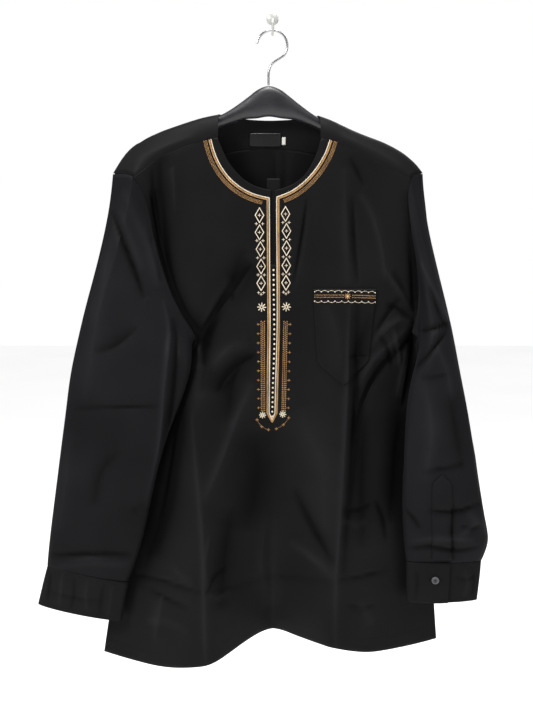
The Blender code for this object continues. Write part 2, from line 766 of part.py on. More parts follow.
def build_sleeve_placket(side, sleeve):
    """Pointed strip over the slit at the sleeve's lower end."""
    spec = SLEEVE_PLACKETS[side]
    tip, shoulder, end = spec["drop"]
    half = spec["half_width"]

    def middle(t):
        return spec["x"][0] + (spec["x"][1] - spec["x"][0]) * t

    def drops_of(s, t):
        high = shoulder - (shoulder - tip) * (1.0 - abs(2.0 * s - 1.0))
        return high + (end - high) * t

    spots = outline_spots(lambda t: middle(t) - half, lambda t: middle(t) + half, drops_of, 4, 14)
    front = spec["side"] == "front"
    return lay_on("sleeve_placket_" + side, sleeve, spots, TRIM_CLOTH, "black_cloth",
                  200.0 if front else 0.0, towards_wall=front)


def build_button(side, cuff):
    """Round button with a rim, flat on the cuff."""
    spec = BUTTONS[side]
    front = spec["side"] == "front"
    sign = 1.0 if front else -1.0
    tree = surface_of(cuff)
    start = Vector((spec["x"] * MM, (-0.2 if front else 0.0), -spec["drop"] * MM))
    hit, normal = tree.ray_cast(start, Vector((0.0, sign, 0.0)))[:2]
    mesh = bpy.data.meshes.new("cuff_button_" + side)
    shape = bmesh.new()
    lathe = [shape.verts.new((radius * BUTTON_RADIUS * MM, 0.0, height * BUTTON_THICK * MM))
             for radius, height in BUTTON_PROFILE]
    lines = [shape.edges.new((lathe[i], lathe[i + 1])) for i in range(len(lathe) - 1)]
    bmesh.ops.spin(shape, geom=lathe + lines, cent=(0, 0, 0), axis=(0, 0, 1),
                   angle=2 * math.pi, steps=16)
    bmesh.ops.remove_doubles(shape, verts=shape.verts, dist=0.00001)
    bmesh.ops.recalc_face_normals(shape, faces=shape.faces)
    shape.to_mesh(mesh)
    shape.free()
    mesh.shade_smooth()
    mesh.set_sharp_from_angle(angle=math.radians(40))
    thing = bpy.data.objects.new("cuff_button_" + side, mesh)
    thing.data.materials.append(finish("button_plastic"))
    bpy.context.scene.collection.objects.link(thing)
    thing.rotation_mode = "QUATERNION"
    thing.rotation_quaternion = normal.to_track_quat("Z", "Y")
    thing.location = hit + normal * LAID_GAP * MM
    return thing


def tube(name, route, radius, material):
    """Round rod along a route of points in millimetres."""
    curve = bpy.data.curves.new(name, "CURVE")
    curve.dimensions = "3D"
    curve.bevel_depth = radius * MM
    curve.bevel_resolution = 3
    curve.use_fill_caps = True
    spline = curve.splines.new("POLY")
    spline.points.add(len(route) - 1)
    for point, spot in zip(spline.points, route):
        point.co = (*(np.asarray(spot) * MM), 1.0)
    thing = bpy.data.objects.new(name, curve)
    curve.materials.append(finish(material))
    bpy.context.scene.collection.objects.link(thing)
    return thing


def soft_route(points, steps):
    """Read a smooth curve through a route's points."""
    points = np.array(points, dtype=float)
    lengths = np.concatenate([[0.0], np.cumsum(np.linalg.norm(np.diff(points, axis=0), axis=1))])
    return [np.array([smooth(lengths, points[:, axis], lengths[-1] * k / steps)
                      for axis in range(3)]) for k in range(steps + 1)]


def build_wall_hook():
    """Round plate on the wall and the bent peg that carries the hanger's wire."""
    mesh = bpy.data.meshes.new("wall_plate")
    shape = bmesh.new()
    bmesh.ops.create_cone(shape, cap_ends=True, segments=32, radius1=WALL_PLATE_RADIUS * MM,
                          radius2=(WALL_PLATE_RADIUS - 1.0) * MM, depth=WALL_PLATE_THICK * MM)
    shape.to_mesh(mesh)
    shape.free()
    thing = bpy.data.objects.new("wall_plate", mesh)
    thing.data.materials.append(finish("hook_plastic"))
    thing.rotation_euler = (math.radians(90), 0.0, 0.0)
    thing.location = (0.0, -WALL_PLATE_THICK / 2 * MM, 0.0)
    bpy.context.scene.collection.objects.link(thing)
    route = soft_route([place(0.0, drop, depth) for depth, drop in PEG_ROUTE], 18)
    tube("wall_peg", route, PEG_RADIUS, "hook_plastic")


def build_wire():
    """Bent wire hook of the hanger, from its open end over the peg and down to the hump."""
    centre_x, centre_drop = WIRE_CENTRE
    depth = HANGER_DEPTH - 1.0
    bend = []
    for degrees in range(172, -51, -12):
        angle = math.radians(degrees)
        bend.append(place(centre_x + WIRE_BEND * math.cos(angle),
                          centre_drop - WIRE_BEND * math.sin(angle), depth))
    shank = [place(x, drop, depth) for x, drop in WIRE_SHANK]
    tube("hanger_hook", bend + shank, WIRE_RADIUS, "hook_wire")


def build_hanger():
    """Hanger: an oval section from one arm's end over the hump to the other."""
    tops = [top if top else read(RIDGE, "drop", "x", x) + HANGER_CLEAR
            for x, top in zip(HANGER["x"], HANGER["top"])]
    for end in (0, -1):
        tops[end] += HANGER_TIP_DROP
    table = dict(HANGER, top=tops)
    ends = list(zip(HANGER["x"][:-1], HANGER["x"][1:]))
    stations = [a + (b - a) * t for a, b in ends for t in (0.0, 0.5)] + [HANGER["x"][-1]]
    rings = []
    for x in stations:
        top = read(table, "top", "x", x)
        height = read(table, "height", "x", x)
        half_depth = read(table, "half_depth", "x", x)
        ring = []
        for k in range(HANGER_SIDES):
            angle = 2 * math.pi * k / HANGER_SIDES
            ring.append(place(x, top + height / 2 * (1.0 - math.cos(angle)),
                              HANGER_DEPTH + half_depth * math.sin(angle)))
        rings.append(ring)
    verts = [point for ring in rings for point in ring]
    faces = [list(range(HANGER_SIDES)),
             list(range(len(verts) - HANGER_SIDES, len(verts)))]
    for i in range(len(rings) - 1):
        for k in range(HANGER_SIDES):
            a = i * HANGER_SIDES + k
            b = i * HANGER_SIDES + (k + 1) % HANGER_SIDES
            faces.append([a, b, b + HANGER_SIDES, a + HANGER_SIDES])
    return add_object("hanger", verts, faces, "hanger_plastic")


def rectangle_spots(spec, columns, rows):
    """Return a grid of places over an upright rectangle."""
    return outline_spots(lambda t: spec["x"][0], lambda t: spec["x"][1],
                         lambda s, t: spec["drop"][0] + (spec["drop"][1] - spec["drop"][0]) * t,
                         columns, rows)


def build_under_placket():
    """Strip behind the slit. Its top end stands above the neck's edge."""
    columns = []
    for i in range(3):
        x = UNDER_PLACKET["x"][0] + (UNDER_PLACKET["x"][1] - UNDER_PLACKET["x"][0]) * i / 2
        line = []
        for j in range(15):
            drop = UNDER_PLACKET["drop"][0] + (UNDER_PLACKET["drop"][1]
                                               - UNDER_PLACKET["drop"][0]) * j / 14
            depth = front_depth(x, max(drop, SLIT_TOP)) - CLOTH / 2 - TRIM_CLOTH / 2 - UNDER_PLACKET_CLEAR
            line.append(place(x, drop, depth))
        columns.append(line)
    return wall("placket_under", columns, TRIM_CLOTH, "black_cloth")


def main():
    """Build the hook, the hanger and the shirt's pieces."""
    clear_scene()
    build_wall_hook()
    build_wire()
    build_hanger()
    front_points = front_grid()
    back_points = back_grid()
    yoke_points = yoke_grid(front_points, back_points)
    front = build_front(front_points)
    wall("back", back_points, CLOTH, "black_cloth")
    yoke = build_yoke(yoke_points)
    for side in ("left", "right"):
        sleeve = build_sleeve(side, front_points, back_points, yoke_points)
        cuff = build_cuff(side)
        build_sleeve_placket(side, sleeve)
        build_button(side, cuff)
    build_pocket(front)
    build_under_placket()
    lay_on("neck_label", yoke, rectangle_spots(LABEL, 4, 2), TRIM_CLOTH, "label_cloth", 45.0)
    lay_on("size_tab", yoke, rectangle_spots(SIZE_TAB, 1, 2), TRIM_CLOTH, "tab_cloth", 45.0)


main()
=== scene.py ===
"""Looks of the long-sleeve shirt on its hanger.

The frame's solids give every piece its place. This script dresses them: cloth shells with listed
creases, seams and stitching, the embroidery, the buttons, the hanger and the wall hook, and the
studio that they are seen in. Tables are in millimetres, as in the part's own source: x runs to the
viewer's right, drop is the distance below the origin and depth the distance out from the wall. Left
and right are the viewer's. Meshes are in metres, with the shirt's front towards -Y and +Z up.
"""

import logging
import math
from abc import ABC, abstractmethod
from dataclasses import dataclass
from enum import Enum
from typing import Callable, Iterable, Optional, Sequence

import bmesh
import bpy
import numpy as np
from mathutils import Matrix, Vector, noise
from mathutils.bvhtree import BVHTree
from mathutils.kdtree import KDTree


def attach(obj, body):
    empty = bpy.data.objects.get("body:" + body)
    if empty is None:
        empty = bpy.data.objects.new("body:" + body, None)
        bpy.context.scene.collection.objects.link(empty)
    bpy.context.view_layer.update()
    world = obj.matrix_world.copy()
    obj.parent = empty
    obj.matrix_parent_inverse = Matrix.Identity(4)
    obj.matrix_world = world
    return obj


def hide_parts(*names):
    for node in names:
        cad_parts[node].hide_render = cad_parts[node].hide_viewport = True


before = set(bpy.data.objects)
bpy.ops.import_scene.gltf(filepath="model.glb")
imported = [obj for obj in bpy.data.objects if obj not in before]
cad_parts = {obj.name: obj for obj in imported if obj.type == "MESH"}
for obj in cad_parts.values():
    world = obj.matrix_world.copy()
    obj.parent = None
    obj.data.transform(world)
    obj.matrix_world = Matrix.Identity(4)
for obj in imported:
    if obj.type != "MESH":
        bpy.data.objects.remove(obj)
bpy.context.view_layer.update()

MM = 0.001
BODY = "root"
SEED = 7

# Further away than anything here, in millimetres
FAR = 1e9

# Every height in the tables of creases is taken this many times; the second number is the power in
# a fold's profile, where 1 is a sharp crest and 2 a round one
FOLD_DEPTH = 1.7
CREST = 1.25

# The point attribute that holds how far each place is up on a fold (1) or down in one (-1). The
# cloth's colour is lightened by it on the crests, a painted highlight, and darkened in the troughs,
# painted shade
FOLD_PAINTED_SHADE = "fold_painted_shade"

# Edges that turn by more degrees than this are a wall's cut edge, and stay hard in the shading
CUT_EDGE_ANGLE = 55.0
HARD_SHADING_ANGLE = 50.0

log = logging.getLogger("shirt")

# A place or a pair of sizes, a line or a profile, and a colour or a point in space
Spot = tuple[float, float]
Line = tuple[Spot, ...]
Triple = tuple[float, float, float]


class Face(Enum):
    """The side of the shirt that a crease or a row of stitches lies on."""

    FRONT = -1.0
    BACK = 1.0


class Slot(Enum):
    """Material slots of the record."""

    CLOTH = "black_cloth"
    HANGER = "hanger_plastic"
    WIRE = "hook_wire"
    HOOK = "hook_plastic"
    BUTTON = "button_plastic"
    LABEL = "label_cloth"
    TAB = "tab_cloth"


# Shader groups and finishes


class NodeTree:
    """A small hand for building node trees."""

    def __init__(self, tree: bpy.types.NodeTree) -> None:
        """Take the tree that nodes are put into."""
        self.tree = tree

    def node(self, kind: str, settings: Optional[dict] = None, **values: object) -> bpy.types.Node:
        """Add a node.

        Args:
            kind: the node's type name.
            settings: the node's own properties.
            values: values or sockets for its inputs, with spaces written as underscores.

        Returns:
            The new node.
        """
        made = self.tree.nodes.new(kind)
        for name, value in (settings or {}).items():
            setattr(made, name, value)
        for name, value in values.items():
            self.feed(made.inputs[name.replace("_", " ")], value)
        return made

    def feed(self, socket: bpy.types.NodeSocket, value: object) -> None:
        """Join a socket to another or give it a value.

        Args:
            socket: the input.
            value: an output socket or a plain value.
        """
        if isinstance(value, bpy.types.NodeSocket):
            self.tree.links.new(value, socket)
        else:
            socket.default_value = value

    def blend(self, share: object, first: object, second: object) -> bpy.types.NodeSocket:
        """Add a Mix node for colours.

        Args:
            share: how much of the second colour there is.
            first: the colour or socket at 0.
            second: the colour or socket at 1.

        Returns:
            The mixed colour.
        """
        made = self.node("ShaderNodeMix", {"data_type": "RGBA"})
        for number, value in zip((0, 6, 7), (share, first, second)):
            self.feed(made.inputs[number], value)
        return made.outputs[2]

    def math(self, operation: str, *values: object) -> bpy.types.NodeSocket:
        """Add a Math node.

        Args:
            operation: what it works out.
            values: its inputs in order.

        Returns:
            Its value.
        """
        made = self.node("ShaderNodeMath", {"operation": operation})
        for socket, value in zip(made.inputs, values):
            self.feed(socket, value)
        return made.outputs[0]

    def spread(self, value: object, low: float, high: float, to_low: float,
               to_high: float) -> bpy.types.NodeSocket:
        """Add a Map Range node.

        Args:
            value: the number to map.
            low: lower end of the range it comes from.
            high: upper end of that range.
            to_low: result at the lower end.
            to_high: result at the upper end.

        Returns:
            The mapped number.
        """
        made = self.node("ShaderNodeMapRange")
        for socket, number in zip(made.inputs, (value, low, high, to_low, to_high)):
            self.feed(socket, number)
        return made.outputs[0]


def new_group(name: str, inputs: dict[str, tuple[str, object]],
              outputs: dict[str, str]) -> tuple[NodeTree, bpy.types.Node, bpy.types.Node]:
    """Start a shader group.

    Args:
        name: the group's name.
        inputs: socket type and default of each input.
        outputs: socket type of each output.

    Returns:
        The tree, its input node and its output node.
    """
    tree = bpy.data.node_groups.new(name, "ShaderNodeTree")
    for title, (kind, default) in inputs.items():
        socket = tree.interface.new_socket(name=title, in_out="INPUT", socket_type=kind)
        if default is not None:
            socket.default_value = default
    for title, kind in outputs.items():
        tree.interface.new_socket(name=title, in_out="OUTPUT", socket_type=kind)
    return NodeTree(tree), tree.nodes.new("NodeGroupInput"), tree.nodes.new("NodeGroupOutput")


def twill_group() -> bpy.types.NodeTree:
    """Build the fine diagonal ribs of a satin twill.

    Returns:
        A group with inputs Vector, Rib and Fuzz, and outputs Height and Tone.
    """
    nodes, given, put = new_group(
        "satin_twill",
        {"Vector": ("NodeSocketVector", None), "Rib": ("NodeSocketFloat", 0.0008),
         "Fuzz": ("NodeSocketFloat", 0.35)},
        {"Height": "NodeSocketFloat", "Tone": "NodeSocketFloat"})
    lean, drift_scale, drift_turn, fibre_scale, relief = 0.62, 55.0, 5.0, 1700.0, 0.25
    split = nodes.node("ShaderNodeSeparateXYZ", Vector=given.outputs["Vector"])
    across = nodes.math("ADD", split.outputs["X"], nodes.math("MULTIPLY", split.outputs["Z"], lean))
    turns = nodes.math("DIVIDE", nodes.math("MULTIPLY", across, 2.0 * math.pi), given.outputs["Rib"])
    drift = nodes.node("ShaderNodeTexNoise", Vector=given.outputs["Vector"], Scale=drift_scale,
                       Detail=2.0)
    ribs = nodes.math("SINE", nodes.math(
        "ADD", turns, nodes.math("MULTIPLY", drift.outputs["Fac"], drift_turn)))
    fibre = nodes.node("ShaderNodeTexNoise", Vector=given.outputs["Vector"], Scale=fibre_scale,
                       Detail=3.0, Roughness=0.7)
    fuzz = nodes.math("MULTIPLY", fibre.outputs["Fac"], given.outputs["Fuzz"])
    height = nodes.math("ADD", nodes.math("MULTIPLY", ribs, relief), fuzz)
    nodes.feed(put.inputs["Height"], nodes.math("ADD", height, relief))
    # Tone follows the ribs' height; the cloth's colour goes pale with it on the crests as a painted
    # highlight and dark between them as painted shade
    nodes.feed(put.inputs["Tone"], nodes.spread(height, -relief, 0.6, 0.0, 1.0))
    return nodes.tree


def handling_group() -> bpy.types.NodeTree:
    """Build the soft unevenness that folding and hanging leave on a cloth or a plastic.

    Returns:
        A group with inputs Vector and Size, and outputs Broad, Small and Height.
    """
    nodes, given, put = new_group(
        "handling",
        {"Vector": ("NodeSocketVector", None), "Size": ("NodeSocketFloat", 9.0)},
        {"Broad": "NodeSocketFloat", "Small": "NodeSocketFloat", "Height": "NodeSocketFloat"})
    times_finer, broad_share, small_share = 7.0, 0.7, 0.3
    broad = nodes.node("ShaderNodeTexNoise", Vector=given.outputs["Vector"],
                       Scale=given.outputs["Size"], Detail=2.0, Roughness=0.45)
    small = nodes.node("ShaderNodeTexNoise", Vector=given.outputs["Vector"],
                       Scale=nodes.math("MULTIPLY", given.outputs["Size"], times_finer),
                       Detail=3.0, Roughness=0.6, Distortion=0.4)
    nodes.feed(put.inputs["Broad"], nodes.spread(broad.outputs["Fac"], 0.32, 0.68, 0.0, 1.0))
    nodes.feed(put.inputs["Small"], nodes.spread(small.outputs["Fac"], 0.3, 0.7, 0.0, 1.0))
    nodes.feed(put.inputs["Height"], nodes.math(
        "ADD", nodes.math("MULTIPLY", broad.outputs["Fac"], broad_share),
        nodes.math("MULTIPLY", small.outputs["Fac"], small_share)))
    return nodes.tree


def thread_group() -> bpy.types.NodeTree:
    """Build the twisted strands and the uneven dye of embroidery thread, with painted shade between
    strands.

    Returns:
        A group with inputs Vector, Pale and Deep, and outputs Colour, Height and Gloss.
    """
    nodes, given, put = new_group(
        "twisted_thread",
        {"Vector": ("NodeSocketVector", None), "Pale": ("NodeSocketColor", (1, 1, 1, 1)),
         "Deep": ("NodeSocketColor", (0, 0, 0, 1))},
        {"Colour": "NodeSocketColor", "Height": "NodeSocketFloat", "Gloss": "NodeSocketFloat"})
    strand_scale, strand_share, dye_scale, dye_share = 900.0, 0.65, 60.0, 0.45
    strand = nodes.node("ShaderNodeTexNoise", Vector=given.outputs["Vector"], Scale=strand_scale,
                        Detail=2.0, Roughness=0.55)
    dye = nodes.node("ShaderNodeTexNoise", Vector=given.outputs["Vector"], Scale=dye_scale,
                     Detail=2.0)
    # The colour follows the strands' height, painted shade where they sink and painted highlight
    # where they rise, mixed with the dye's own unevenness
    share = nodes.math("ADD", nodes.math("MULTIPLY", strand.outputs["Fac"], strand_share),
                       nodes.math("MULTIPLY", dye.outputs["Fac"], dye_share))
    nodes.feed(put.inputs["Colour"], nodes.blend(nodes.spread(share, 0.35, 0.75, 0.0, 1.0),
                                                 given.outputs["Deep"], given.outputs["Pale"]))
    nodes.feed(put.inputs["Height"], strand.outputs["Fac"])
    nodes.feed(put.inputs["Gloss"], nodes.spread(dye.outputs["Fac"], 0.3, 0.7, 0.34, 0.5))
    return nodes.tree


class ShaderGroups:
    """The shared shader groups, each built on first use."""

    BUILDERS: dict[str, Callable[[], bpy.types.NodeTree]] = {
        "satin_twill": twill_group, "handling": handling_group, "twisted_thread": thread_group}

    @classmethod
    def place(cls, nodes: NodeTree, name: str, **values: object) -> bpy.types.Node:
        """Put a group into a material.

        Args:
            nodes: the material's tree.
            name: the group's name.
            values: values or sockets for its inputs.

        Returns:
            The group node.
        """
        tree = bpy.data.node_groups.get(name) or cls.BUILDERS[name]()
        made = nodes.tree.nodes.new("ShaderNodeGroup")
        made.node_tree = tree
        for title, value in values.items():
            nodes.feed(made.inputs[title], value)
        return made


def start_material(name: str) -> tuple[bpy.types.Material, NodeTree, bpy.types.Node]:
    """Make an empty material with a Principled shader.

    Args:
        name: the material's name.

    Returns:
        The material, its tree and its shader.
    """
    material = bpy.data.materials.new(name)
    material.use_nodes = True
    nodes = NodeTree(material.node_tree)
    return material, nodes, material.node_tree.nodes["Principled BSDF"]


def add_bump(nodes: NodeTree, shader: bpy.types.Node, height: bpy.types.NodeSocket,
             distance: float, strength: float = 1.0) -> None:
    """Join a height to a shader's normal.

    Args:
        nodes: the material's tree.
        shader: the Principled shader.
        height: the height to follow.
        distance: how high it stands, in metres.
        strength: how much of it shows.
    """
    bump = nodes.node("ShaderNodeBump", Strength=strength, Distance=distance, Height=height)
    nodes.feed(shader.inputs["Normal"], bump.outputs["Normal"])


class Finish(ABC):
    """A finish whose material is built on first use."""

    name: str

    def material(self) -> bpy.types.Material:
        """Give the finish's material."""
        return bpy.data.materials.get(self.name) or self.build()

    @abstractmethod
    def build(self) -> bpy.types.Material:
        """Build the material."""


@dataclass(frozen=True)
class ClothFinish(Finish):
    """Woven cloth with diagonal ribs and a soft sheen.

    Fields:
        name: the material's name.
        deep: colour between the ribs, darker there as painted shade, and where the broad unevenness
            is low.
        pale: colour on the ribs, paler there as painted highlight, and where the broad unevenness is
            high.
        roughness: its middle value.
        rib: distance from rib to rib in metres.
        turn: how far the weave is turned, in radians.
        relief: height of the ribs in metres.
        sheen: weight of the fibres' sheen.
        specular: level of the plain reflection.
        hollow_painted_shade: what the colour is multiplied by deep in a fold, painted shade.
        ridge_painted_highlight: what it is multiplied by on top of one, painted highlight.
        worn_scale: scale of the broad unevenness.
        swing: how far the roughness swings to either side.
        rib_gloss: how much rougher the ribs' crests are.
        bump_strength: how much of the ribs' relief shows.
    """

    SHEEN_ROUGHNESS = 0.45
    SHEEN_TINT = (0.8, 0.82, 0.9, 1.0)

    name: str
    deep: Triple
    pale: Triple
    roughness: float = 0.5
    rib: float = 0.0008
    turn: float = 0.0
    relief: float = 0.00006
    sheen: float = 0.012
    specular: float = 0.055
    hollow_painted_shade: float = 0.1
    ridge_painted_highlight: float = 1.9
    worn_scale: float = 8.0
    swing: float = 0.05
    rib_gloss: float = 0.08
    bump_strength: float = 0.6

    def build(self) -> bpy.types.Material:
        """Build the cloth's material.

        Returns:
            The material.
        """
        made, nodes, shader = start_material(self.name)
        place = nodes.node("ShaderNodeTexCoord")
        turned = nodes.node("ShaderNodeMapping", Vector=place.outputs["Object"],
                            Rotation=(0.0, self.turn, 0.0))
        twill = ShaderGroups.place(nodes, "satin_twill", Vector=turned.outputs["Vector"],
                                   Rib=self.rib)
        worn = ShaderGroups.place(nodes, "handling", Vector=place.outputs["Object"],
                                  Size=self.worn_scale)
        # Half of the colour's mix is the ribs' painted highlight and shade, half the broad random
        # unevenness
        share = nodes.math("ADD", nodes.math("MULTIPLY", twill.outputs["Tone"], 0.5),
                           nodes.math("MULTIPLY", worn.outputs["Broad"], 0.5))
        # The colour is darkened in the folds' troughs as painted shade and lightened on their crests
        # as painted highlight
        fold = nodes.node("ShaderNodeAttribute", {"attribute_name": FOLD_PAINTED_SHADE})
        shaded = nodes.node("ShaderNodeVectorMath", {"operation": "SCALE"}, Scale=nodes.spread(
            fold.outputs["Fac"], -1.0, 1.0, self.hollow_painted_shade, self.ridge_painted_highlight))
        nodes.feed(shaded.inputs[0], nodes.blend(share, (*self.deep, 1.0), (*self.pale, 1.0)))
        nodes.feed(shader.inputs["Base Color"], shaded.outputs["Vector"])
        rough = nodes.spread(worn.outputs["Small"], 0.0, 1.0,
                             self.roughness - self.swing, self.roughness + self.swing)
        ribbed = nodes.math("MULTIPLY", twill.outputs["Tone"], self.rib_gloss)
        nodes.feed(shader.inputs["Roughness"], nodes.math("ADD", rough, ribbed))
        shader.inputs["Sheen Weight"].default_value = self.sheen
        shader.inputs["Sheen Roughness"].default_value = self.SHEEN_ROUGHNESS
        shader.inputs["Sheen Tint"].default_value = self.SHEEN_TINT
        shader.inputs["Specular IOR Level"].default_value = self.specular
        add_bump(nodes, shader, twill.outputs["Height"], self.relief, self.bump_strength)
        return made


@dataclass(frozen=True)
class ThreadFinish(Finish):
    """Shiny embroidery or sewing thread."""

    name: str
    pale: Triple
    deep: Triple
    specular: float = 0.5
    sheen: float = 0.2
    sheen_roughness: float = 0.4
    relief: float = 0.00012
    bump_strength: float = 0.5

    def build(self) -> bpy.types.Material:
        """Build the thread's material.

        Returns:
            The material.
        """
        made, nodes, shader = start_material(self.name)
        place = nodes.node("ShaderNodeTexCoord")
        thread = ShaderGroups.place(nodes, "twisted_thread", Vector=place.outputs["Object"],
                                    Pale=(*self.pale, 1.0), Deep=(*self.deep, 1.0))
        nodes.feed(shader.inputs["Base Color"], thread.outputs["Colour"])
        nodes.feed(shader.inputs["Roughness"], thread.outputs["Gloss"])
        shader.inputs["Sheen Weight"].default_value = self.sheen
        shader.inputs["Sheen Roughness"].default_value = self.sheen_roughness
        shader.inputs["Specular IOR Level"].default_value = self.specular
        add_bump(nodes, shader, thread.outputs["Height"], self.relief, self.bump_strength)
        return made


@dataclass(frozen=True)
class HardFinish(Finish):
    """Moulded plastic or drawn wire."""

    name: str
    colour: Triple
    worn_colour: Triple
    roughness: float
    metallic: float = 0.0
    grain: float = 160.0
    grain_step: float = 6.0
    wear: float = 0.6
    swing: tuple[float, float] = (-0.05, 0.08)
    relief: float = 0.00003
    bump_strength: float = 0.5

    def build(self) -> bpy.types.Material:
        """Build the material.

        Returns:
            The material.
        """
        made, nodes, shader = start_material(self.name)
        place = nodes.node("ShaderNodeTexCoord")
        worn = ShaderGroups.place(nodes, "handling", Vector=place.outputs["Object"],
                                  Size=self.grain / self.grain_step)
        grain = nodes.node("ShaderNodeTexNoise", Vector=place.outputs["Object"],
                           Scale=self.grain * self.grain_step, Detail=4.0, Roughness=0.6)
        share = nodes.math("MULTIPLY", worn.outputs["Small"], self.wear)
        nodes.feed(shader.inputs["Base Color"],
                   nodes.blend(share, (*self.colour, 1.0), (*self.worn_colour, 1.0)))
        low, high = (self.roughness + swing for swing in self.swing)
        nodes.feed(shader.inputs["Roughness"],
                   nodes.spread(worn.outputs["Broad"], 0.0, 1.0, low, high))
        shader.inputs["Metallic"].default_value = self.metallic
        add_bump(nodes, shader, grain.outputs["Fac"], self.relief, self.bump_strength)
        return made


BLACK_CLOTH = ClothFinish("black_satin_twill", (0.0046, 0.0046, 0.0050), (0.0080, 0.0080, 0.0086))
# The sleeves and cuffs are the body's cloth with its weave turned; their colours are lighter than
# the body's as painted light where they face the lamps more, the right sleeve the most
LEFT_SLEEVE_LIT_CLOTH = ClothFinish("black_satin_twill_lit_left_sleeve", (0.0050, 0.0050, 0.0056),
                                (0.0088, 0.0088, 0.0098), turn=math.radians(-13.0))
RIGHT_SLEEVE_LIT_CLOTH = ClothFinish("black_satin_twill_lit_right_sleeve", (0.0058, 0.0058, 0.0066),
                                 (0.0100, 0.0100, 0.0112), turn=math.radians(11.0))
CUFF_LIT_CLOTH = ClothFinish("black_lit_cuff_twill", (0.0050, 0.0050, 0.0054), (0.0090, 0.0090, 0.0096),
                         turn=math.radians(80.0))
LABEL_SATIN = ClothFinish("black_label_satin", (0.006, 0.006, 0.0066), (0.011, 0.011, 0.012),
                          roughness=0.36, rib=0.0003, relief=0.00002, specular=0.3)
TAB_TAPE = ClothFinish("white_tape", (0.62, 0.60, 0.55), (0.78, 0.76, 0.71), roughness=0.7,
                       rib=0.0005, relief=0.00004)
BLACK_THREAD = ThreadFinish("black_sewing_thread", (0.0075, 0.0075, 0.0082), (0.0035, 0.0035, 0.004),
                            specular=0.08, sheen=0.02)
CREAM_THREAD = ThreadFinish("cream_thread", (0.80, 0.70, 0.55), (0.52, 0.43, 0.31))
GOLD_THREAD = ThreadFinish("gold_thread", (0.60, 0.33, 0.10), (0.20, 0.09, 0.02))
HANGER_PLASTIC = HardFinish("black_hanger_plastic", (0.012, 0.012, 0.014), (0.022, 0.022, 0.025),
                            0.34)
WIRE_METAL = HardFinish("hook_steel", (0.50, 0.50, 0.51), (0.34, 0.34, 0.35), 0.24, metallic=1.0,
                        grain=240.0)
HOOK_PLASTIC = HardFinish("white_hook_plastic", (0.50, 0.50, 0.48), (0.40, 0.40, 0.38), 0.30)
BUTTON_PLASTIC = HardFinish("grey_button_plastic", (0.060, 0.064, 0.072), (0.085, 0.09, 0.1), 0.34)
BUTTON_DARK = HardFinish("button_well_plastic", (0.018, 0.018, 0.020), (0.03, 0.03, 0.033), 0.3)


# Meshes


def link(name: str, mesh: bpy.types.Mesh) -> bpy.types.Object:
    """Put a mesh into the scene as an object at the origin.

    Args:
        name: the object's name.
        mesh: its mesh.

    Returns:
        The object.
    """
    made = bpy.data.objects.new(name, mesh)
    bpy.context.scene.collection.objects.link(made)
    return made


def points_of(mesh: bpy.types.Mesh) -> np.ndarray:
    """Read a mesh's points in metres.

    Args:
        mesh: the mesh.

    Returns:
        One row for each point.
    """
    flat = np.empty(len(mesh.vertices) * 3)
    mesh.vertices.foreach_get("co", flat)
    return flat.reshape(-1, 3)


def set_points(mesh: bpy.types.Mesh, points: np.ndarray) -> None:
    """Write a mesh's points back."""
    mesh.vertices.foreach_set("co", points.ravel())
    mesh.update()


def set_finish(piece: bpy.types.Object, finish: Finish) -> None:
    """Give a piece one finish in place of any other."""
    piece.data.materials.clear()
    piece.data.materials.append(finish.material())


def merged_copy(node: str) -> bmesh.types.BMesh:
    """Copy a solid's mesh as joined quads.

    Args:
        node: the frame's node.

    Returns:
        The copy, with its doubles merged.
    """
    shape = bmesh.new()
    shape.from_mesh(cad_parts[node].data)
    bmesh.ops.remove_doubles(shape, verts=shape.verts, dist=1e-6)
    quad_limit = math.radians(50.0)
    bmesh.ops.join_triangles(shape, faces=shape.faces, angle_face_threshold=quad_limit,
                             angle_shape_threshold=quad_limit)
    return shape


@dataclass(frozen=True)
class Gusset:
    """A spot where the cut edge of a piece reaches further, in millimetres."""

    x: float
    drop: float
    radius: float
    reach: float


def reach_out(shape: bmesh.types.BMesh, reach: float, gussets: Sequence[Gusset]) -> None:
    """Move a wall's cut edge outwards, so that sewn pieces meet.

    Args:
        shape: the coarse wall, changed in place.
        reach: how far every cut edge moves, in millimetres.
        gussets: spots where it moves further.
    """
    shape.normal_update()
    sharp = {e for e in shape.edges if e.is_manifold
             and e.calc_face_angle(0.0) > math.radians(CUT_EDGE_ANGLE)}
    pushes: dict[bmesh.types.BMVert, Vector] = {}
    for face in shape.faces:
        if sum(e in sharp for e in face.edges) < 2:
            continue
        for vert in face.verts:
            pushes[vert] = pushes.get(vert, Vector()) + face.normal
    for vert, push in pushes.items():
        far = reach
        for gusset in gussets:
            away = math.hypot(vert.co.x / MM - gusset.x, -vert.co.z / MM - gusset.drop)
            share = max(0.0, 1.0 - (away / gusset.radius) ** 2)
            far = max(far, gusset.reach * share)
        vert.co += push.normalized() * far * MM


